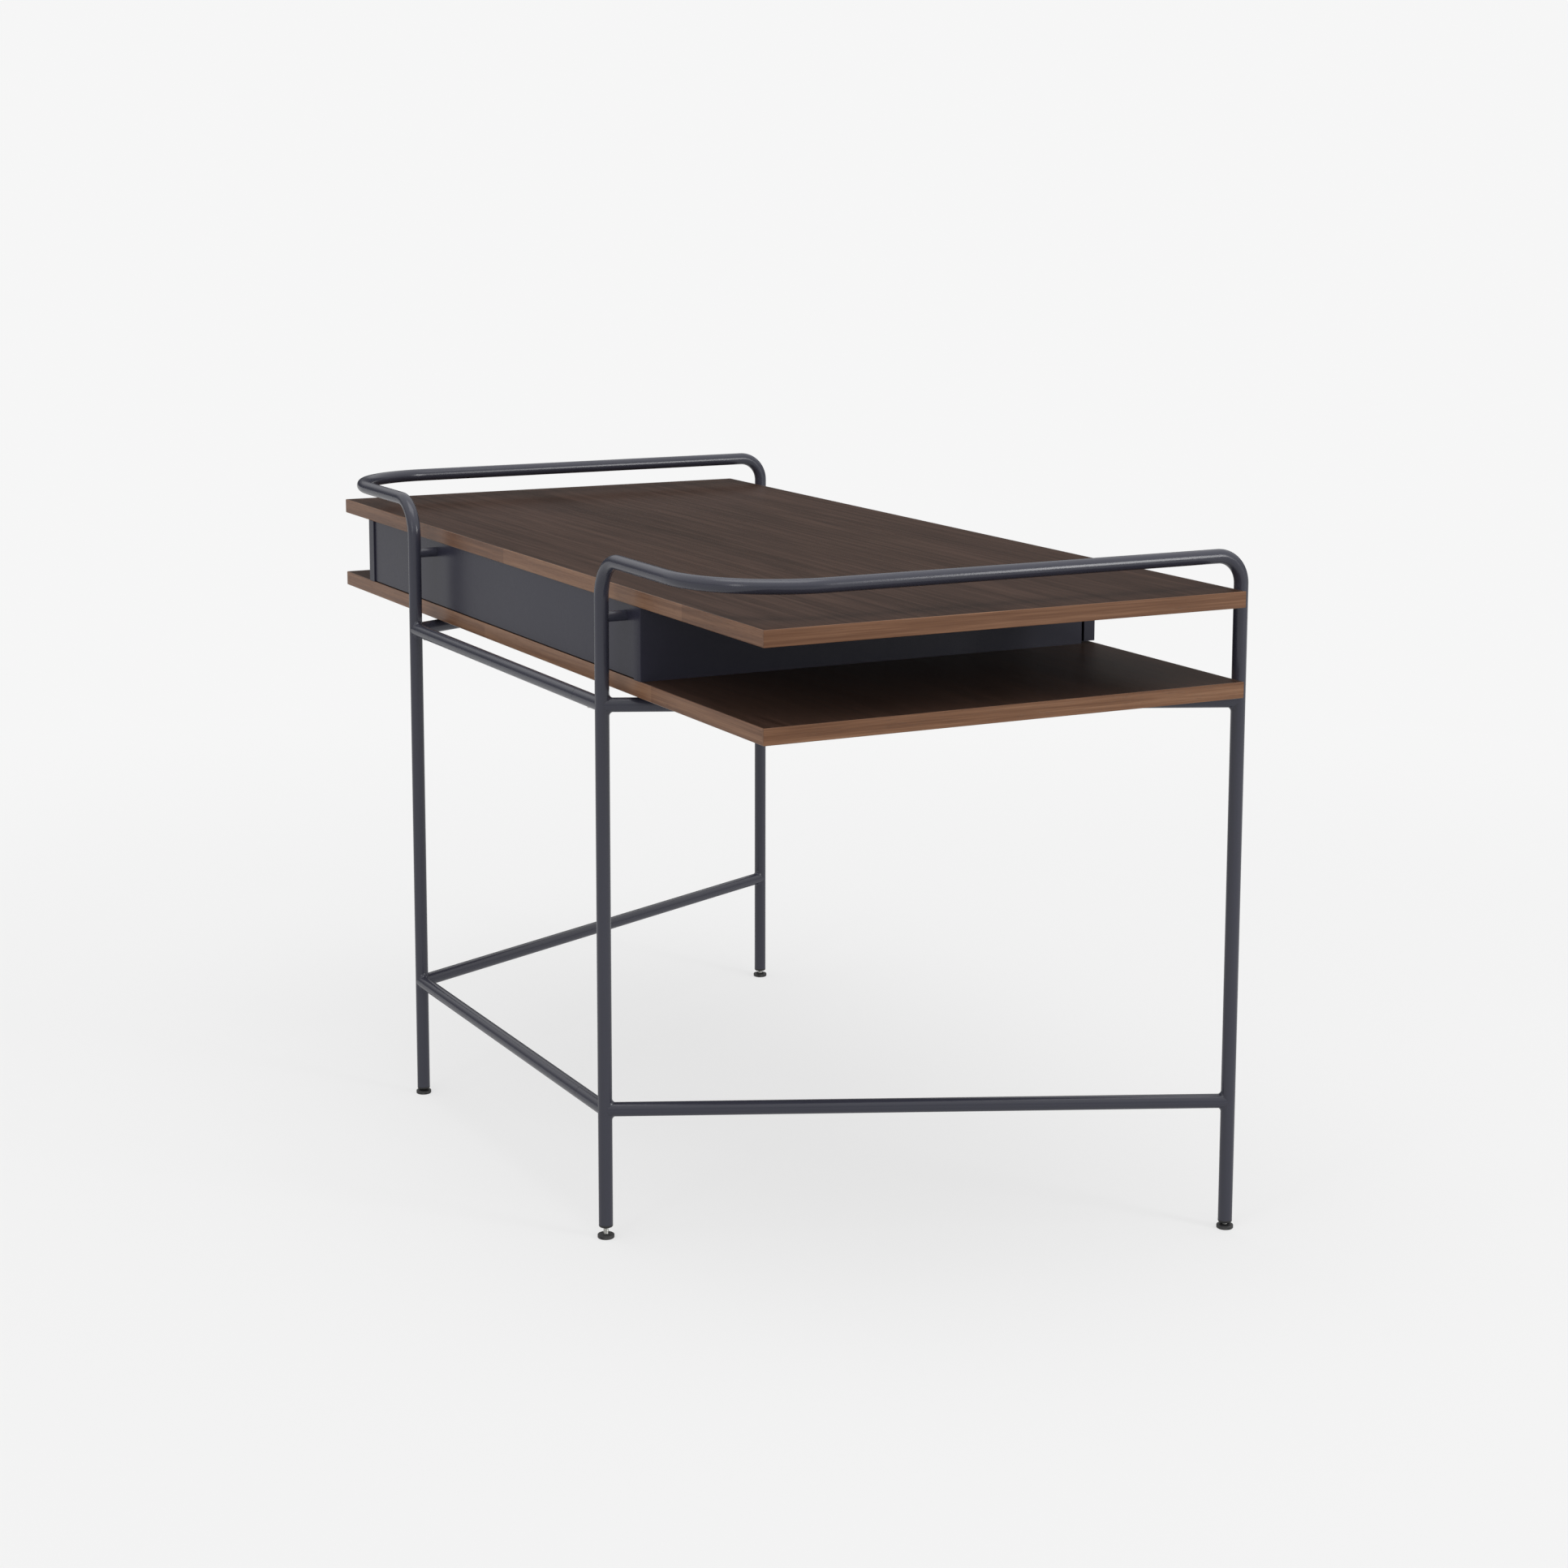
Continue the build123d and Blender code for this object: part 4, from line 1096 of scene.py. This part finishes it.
@dataclass
class DrawerCase(Assembly):
    """The lacquered panels between the boards, with their dowels and screws."""

    lacquer: bpy.types.Material
    zinc: bpy.types.Material
    beech: bpy.types.Material

    def build(self) -> None:
        """Finish the panels and make their screws."""
        self.dress(self.lacquer, ["box_side_left", "box_side_right", "box_divider", "box_back_panel"])
        self.dress(self.beech, ["panel_dowels"])
        seats = [
            Vector(((low.x + high.x) / 2, (low.y + high.y) / 2, low.z))
            for low, high in islands("panel_screws")
        ]
        piece = PANEL_SCREW.make("panel_screw_set", seats, [(0.0, 0.0, 1.0)] * len(seats), self.zinc)
        self.hand_over(piece, "desk", Slot.ZINC, ["panel_screws"])


@dataclass
class Drawer(Assembly):
    """One drawer: lacquered front, ply box and the screws through its inner front."""

    side: str
    lacquer: bpy.types.Material
    ply: Mapping[Axis, bpy.types.Material]
    zinc: bpy.types.Material

    def build(self) -> None:
        """Finish the drawer and make its screws."""
        prefix = f"{self.side}_drawer_"
        self.dress(self.lacquer, [prefix + "front"])
        self.dress(self.ply[Axis.X], [prefix + "side_left", prefix + "side_right"])
        self.dress(self.ply[Axis.Y], [prefix + "inner_front", prefix + "back"])
        self.dress(self.ply[Axis.Z], [prefix + "bottom"])
        seats = [
            Vector(((low.x + high.x) / 2, high.y - FRONT_SCREW.dome, (low.z + high.z) / 2))
            for low, high in islands(prefix + "front_screws")
        ]
        name = prefix + "front_screw_set"
        piece = FRONT_SCREW.make(name, seats, [(0.0, -1.0, 0.0)] * len(seats), self.zinc)
        self.hand_over(piece, f"{self.side}_drawer", Slot.ZINC, [prefix + "front_screws"])


@dataclass
class Runners(Assembly):
    """The ball runners of one drawer: channels, cages, balls and screws."""

    side: str
    steel: bpy.types.Material
    ball: bpy.types.Material
    zinc: bpy.types.Material
    ball_segments: int = 20
    ball_rings: int = 12

    def build(self) -> None:
        """Finish the channels, and make the balls and the drawer's screws."""
        prefix = f"{self.side}_runner_"
        parts = ("case_members", "drawer_members", "ball_cages")
        self.dress(self.steel, [prefix + part for part in parts])
        self._balls(prefix + "balls")
        middle = sum(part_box(prefix + "drawer_members"), Vector()).x / 2

        def inwards(x: float) -> float:
            """Towards the middle of the drawer."""
            return 1.0 if x < middle else -1.0

        runner_screws(self, prefix + "drawer_screws", f"{self.side}_drawer", self.zinc, inwards)

    def _balls(self, node: str) -> None:
        """Set a polished ball at each place of the CAD's balls.

        Args:
            node: The CAD node of the balls.
        """
        boxes = islands(node)
        shape = Shape(node + " tree")
        radius = shape.size("Radius")
        material = shape.size("Material", "NodeSocketMaterial")
        feeds = {"Segments": self.ball_segments, "Rings": self.ball_rings, "Radius": radius}
        ball = shape.node("GeometryNodeMeshUVSphere", {}, feeds, "Mesh")
        placed = shape.node("GeometryNodeInstanceOnPoints", {}, {"Points": shape.given(), "Instance": ball})
        shape.close(placed, material)
        seed = points_mesh(node + "_places", [tuple((low + high) / 2) for low, high in boxes])
        values = {"Radius": (boxes[0][1].z - boxes[0][0].z) / 2, "Material": self.ball}
        piece = shape.run(seed, f"{self.side}_ball_set", values)
        self.hand_over(piece, f"{self.side}_ball_cages", Slot.BALL, [node])


def runner_screws(
    owner: Assembly, node: str, body: str, material: bpy.types.Material, way: Callable[[float], float]
) -> None:
    """Make the flat-headed screws of a runner node.

    Args:
        owner: The assembly that they belong to.
        node: The CAD node of the screws.
        body: The body that they ride on.
        material: Their finish.
        way: A function from a screw's x to the X direction that its tip points.
    """
    seats, aims = [], []
    for low, high in islands(node):
        aim = way((low.x + high.x) / 2)
        seats.append(Vector((low.x if aim > 0 else high.x, (low.y + high.y) / 2, (low.z + high.z) / 2)))
        aims.append((aim, 0.0, 0.0))
    piece = RUNNER_SCREW.make(node + "_set", seats, aims, material)
    owner.hand_over(piece, body, Slot.ZINC, [node])


@dataclass
class CaseScrews(Assembly):
    """The screws that hold the runners to the case."""

    zinc: bpy.types.Material

    def build(self) -> None:
        """Make the screws, each pointing into its panel."""
        names = ("box_side_left", "box_divider", "box_side_right")
        panels = [sum(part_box(name), Vector()).x / 2 for name in names]

        def into_panel(x: float) -> float:
            """Towards the middle of the nearest panel."""
            nearest = min(panels, key=lambda middle: abs(middle - x))
            return 1.0 if nearest > x else -1.0

        runner_screws(self, "runner_case_screws", "desk", self.zinc, into_panel)


@dataclass
class LevellingFoot(Assembly):
    """One foot: a moulded pad on a threaded stud."""

    place: str
    plastic: bpy.types.Material
    zinc: bpy.types.Material

    def build(self) -> None:
        """Finish the pad and cut the stud's thread."""
        self.dress(self.plastic, [f"foot_pad_{self.place}"])
        low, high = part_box(f"foot_stud_{self.place}")
        seat = Vector(((low.x + high.x) / 2, (low.y + high.y) / 2, low.z))
        piece = STUD.make(f"threaded_stud_{self.place}", [seat], [(0.0, 0.0, 1.0)], self.zinc)
        self.hand_over(piece, f"stud_{self.place}", Slot.ZINC, [f"foot_stud_{self.place}"])


# ---------------------------------------------------------------- studio
@dataclass(frozen=True)
class AreaLight:
    """A rectangular light, the point that it faces and its power in watts."""

    name: str
    at: Point
    towards: Point
    size: tuple[float, float]
    power: float

    def make(self) -> None:
        """Add the light."""
        lamp = bpy.data.lights.new(self.name, "AREA")
        lamp.shape = "RECTANGLE"
        lamp.size, lamp.size_y = self.size
        lamp.energy = self.power
        holder = bpy.data.objects.new(self.name, lamp)
        bpy.context.scene.collection.objects.link(holder)
        holder.location = self.at
        holder.rotation_euler = (Vector(self.towards) - Vector(self.at)).to_track_quat("-Z", "Y").to_euler()


@dataclass
class Studio:
    """A pale floor that fades into the backdrop, soft lights and the camera."""

    lights: tuple[AreaLight, ...] = (
        AreaLight("overhead", at=(-0.4, 0.3, 3.4), towards=(0.0, 0.0, 0.7), size=(2.6, 1.8), power=26.0),
        AreaLight("back_strip", at=(-2.2, 3.4, 1.9), towards=(0.0, 0.2, 0.6), size=(0.6, 1.6), power=9.0),
        AreaLight("left_strip", at=(-3.6, -2.2, 1.5), towards=(0.0, 0.0, 0.5), size=(0.8, 1.6), power=38.0),
    )
    sky: tuple[tuple[float, float], ...] = ((0.0, 0.34), (0.12, 0.45), (0.30, 0.75), (1.0, 1.15))
    backdrop: float = 0.923
    floor_radius: float = 30.0
    floor_albedo: float = 0.24
    floor_glow: float = 0.625
    floor_bounce: float = 0.42
    card_depth: float = 0.93
    card_sides: tuple[float, float] = (0.25, 0.75)
    card_top: tuple[float, float] = (0.13, 0.42)
    pool_inner: float = 0.9
    pool_outer: float = 2.9
    camera_at: Point = (-3.1774, 1.5954, 1.2000)
    yaw: float = 62.599
    pitch: float = 8.662
    roll: float = 0.105
    lens: float = 67.52
    shift: tuple[float, float] = (0.0017, -0.1155)

    def build(self) -> None:
        """Make everything around the desk."""
        self._floor()
        self._world()
        for light in self.lights:
            light.make()
        self._camera()
        bpy.context.scene.view_settings.view_transform = "Standard"
        log.info("made the studio")

    def _floor(self) -> None:
        """A round pale floor that glows like the backdrop far from the desk."""
        mesh = bpy.data.meshes.new("floor")
        work = bmesh.new()
        bmesh.ops.create_circle(work, cap_ends=True, segments=96, radius=self.floor_radius)
        work.to_mesh(mesh)
        work.free()
        recipe = Recipe("pale floor")
        x, y = (recipe.part_of(recipe.place, axis) for axis in (Axis.X, Axis.Y))
        distance = (x * x + y * y) ** 0.5
        far = distance.ramped(self.pool_inner, self.pool_outer)
        seen = recipe.node("ShaderNodeLightPath", output="Is Camera Ray")
        matt = recipe.node("ShaderNodeBsdfDiffuse", {}, {"Color": (self.floor_albedo,) * 3, "Roughness": 0.4})
        near_glow = recipe.glow(self.floor_glow)
        near = recipe.node("ShaderNodeAddShader", {}, {0: matt, 1: near_glow})
        shown = recipe.node("ShaderNodeMixShader", {}, {0: far, 1: near, 2: recipe.glow(self.backdrop)})
        lit = recipe.node("ShaderNodeAddShader", {}, {0: matt, 1: recipe.glow(self.floor_bounce)})
        recipe.end_with(recipe.node("ShaderNodeMixShader", {}, {0: seen, 1: lit, 2: shown}))
        mesh.materials.append(recipe.material)
        floor = bpy.data.objects.new("floor", mesh)
        bpy.context.scene.collection.objects.link(floor)

    def _world(self) -> None:
        """White to the eye; as a light, bright overhead, dim low down and darkest ahead of the camera."""
        world = bpy.data.worlds.new("studio")
        world.use_nodes = True
        bpy.context.scene.world = world
        graph = Graph(world.node_tree)
        direction = graph.node("ShaderNodeTexCoord", output="Generated")
        height = graph.node("ShaderNodeSeparateXYZ", {}, {0: direction}, 2)
        stops = [(place, (level,) * 3) for place, level in self.sky]
        glow = graph.node("ShaderNodeValToRGB", {"stops": stops}, {0: height})
        yaw = math.radians(self.yaw)
        ahead = (math.sin(yaw), -math.cos(yaw), 0.0)
        facing = graph.node("ShaderNodeVectorMath", {"operation": "DOT_PRODUCT"}, {0: direction, 1: ahead}, 1)
        low_down = 1.0 - height.ramped(*self.card_top)
        dark_card = facing.ramped(*self.card_sides) * low_down * self.card_depth
        feeds = {0: dark_card, 6: glow, 7: (0.0, 0.0, 0.0)}
        glow = graph.node("ShaderNodeMix", {"data_type": "RGBA"}, feeds, 2)
        lit = graph.node("ShaderNodeBackground", {}, {"Color": glow, "Strength": 1.0})
        seen = graph.node("ShaderNodeBackground", {}, {"Color": (self.backdrop,) * 3, "Strength": 1.0})
        eye = graph.node("ShaderNodeLightPath", output="Is Camera Ray")
        both = graph.node("ShaderNodeMixShader", {}, {0: eye, 1: lit, 2: seen})
        end = graph.tree.nodes.new("ShaderNodeOutputWorld")
        graph.tree.links.new(both.socket, end.inputs[0])

    def _camera(self) -> None:
        """The camera, low behind the desk's left end."""
        yaw, pitch, roll = (math.radians(angle) for angle in (self.yaw, self.pitch, self.roll))
        look = Vector((math.sin(yaw) * math.cos(pitch), -math.cos(yaw) * math.cos(pitch), -math.sin(pitch)))
        right = look.cross(Vector((0.0, 0.0, 1.0))).normalized()
        up = right.cross(look)
        right, up = right * math.cos(roll) + up * math.sin(roll), up * math.cos(roll) - right * math.sin(roll)
        data = bpy.data.cameras.new("camera")
        data.sensor_width = 36.0
        data.lens = self.lens
        data.shift_x, data.shift_y = self.shift
        camera = bpy.data.objects.new("camera", data)
        bpy.context.scene.collection.objects.link(camera)
        axes = Matrix((right, up, -look)).transposed().to_4x4()
        camera.matrix_world = Matrix.Translation(self.camera_at) @ axes
        bpy.context.scene.camera = camera


# ---------------------------------------------------------------- the desk
WALNUT_TOP = WoodTones(
    dark=(0.028, 0.0150, 0.0102),
    middle=(0.047, 0.0262, 0.0188),
    light=(0.071, 0.041, 0.030),
    pore=(0.013, 0.0075, 0.0055),
)
WALNUT_BAND = WoodTones(
    dark=(0.122, 0.055, 0.028),
    middle=(0.184, 0.090, 0.048),
    light=(0.262, 0.140, 0.079),
    pore=(0.060, 0.030, 0.019),
)
BEECH = WoodTones(
    dark=(0.36, 0.22, 0.12),
    middle=(0.46, 0.30, 0.18),
    light=(0.56, 0.39, 0.25),
    pore=(0.25, 0.15, 0.08),
)
# How far in from a board's end the grain still runs across, a little over the strip's thickness.
END_STRIP = 0.0022


def boards() -> Boards:
    """Mix the walnuts and make the two boards.

    Returns:
        The boards, each with its face and its edge bands.
    """
    faces = [
        Timber(name, WALNUT_TOP, Axis.X, roughness=0.34, band_width=0.075, specular=0.03, seed=seed).make()
        for name, seed in (("upper walnut", 0.0), ("lower walnut", 7.3))
    ]
    end_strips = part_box("upper_edge_bands")[1].x - END_STRIP
    edges = [
        Timber(
            name,
            WALNUT_BAND,
            Axis.X,
            roughness=0.30,
            band_width=0.02,
            turn_beyond=end_strips,
            specular=0.22,
            seed=seed,
            figure=0.25,
            splices=splices,
            # Painted shade: the band's upward faces take the face's darker walnut tones.
            shaded_top_tones=WALNUT_TOP,
        ).make()
        for name, seed, splices in (
            ("upper walnut band", 2.1, (-0.437, 0.057, 0.39)),
            ("lower walnut band", 5.7, (-0.36, 0.12)),
        )
    ]
    return Boards(*faces, *edges)


def assemblies() -> list[Assembly]:
    """Mix the finishes and hand them to the sub-assemblies.

    Returns:
        The sub-assemblies, in the order that they are built.
    """
    tube_lacquer = SatinLacquer(
        "tube lacquer", (0.040, 0.041, 0.058), roughness=0.22, peel_scale=700.0, peel_depth=0.000030
    ).make()
    case_lacquer = SatinLacquer(
        "case lacquer",
        (0.027, 0.0265, 0.042),
        roughness=0.28,
        peel_scale=900.0,
        peel_depth=0.000022,
        specular=0.2,
    ).make()
    zinc = PlatedSteel("zinc plate", (0.62, 0.62, 0.59), roughness=0.30, lines=Axis.Z).make()
    runner_steel = PlatedSteel("runner plate", (0.66, 0.67, 0.68), roughness=0.26, lines=Axis.Y).make()
    ball_steel = PlatedSteel(
        "ball polish", (0.80, 0.80, 0.81), roughness=0.07, lines=Axis.Z, dulling=0.04
    ).make()
    plastic = MouldedPlastic("foot plastic", (0.020, 0.020, 0.021), roughness=0.46, dust_height=0.006).make()
    beech = Timber("beech dowel", BEECH, Axis.Z, roughness=0.6, band_width=0.004).make()
    ply = {axis: BirchPly(f"birch ply {axis.name}", axis).make() for axis in Axis}

    parts: list[Assembly] = [
        TubeFrame(tube_lacquer, zinc, plastic),
        boards(),
        DrawerCase(case_lacquer, zinc, beech),
        CaseScrews(zinc),
    ]
    for side in ("left", "right"):
        parts.append(Drawer(side, case_lacquer, ply, zinc))
        parts.append(Runners(side, runner_steel, ball_steel, zinc))
    for place in ("back_left", "back_right", "front_left", "front_right"):
        parts.append(LevellingFoot(place, plastic, zinc))
    return parts


def main() -> None:
    """Build every sub-assembly in order and report its pieces, then make the studio."""
    logging.basicConfig(level=logging.INFO, format="%(name)s: %(message)s")
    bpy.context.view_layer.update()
    for part in assemblies():
        part.build()
        for piece in part.made:
            log.info("%s: %s", type(part).__name__, piece)
    Studio().build()


if __name__ == "__main__":
    main()
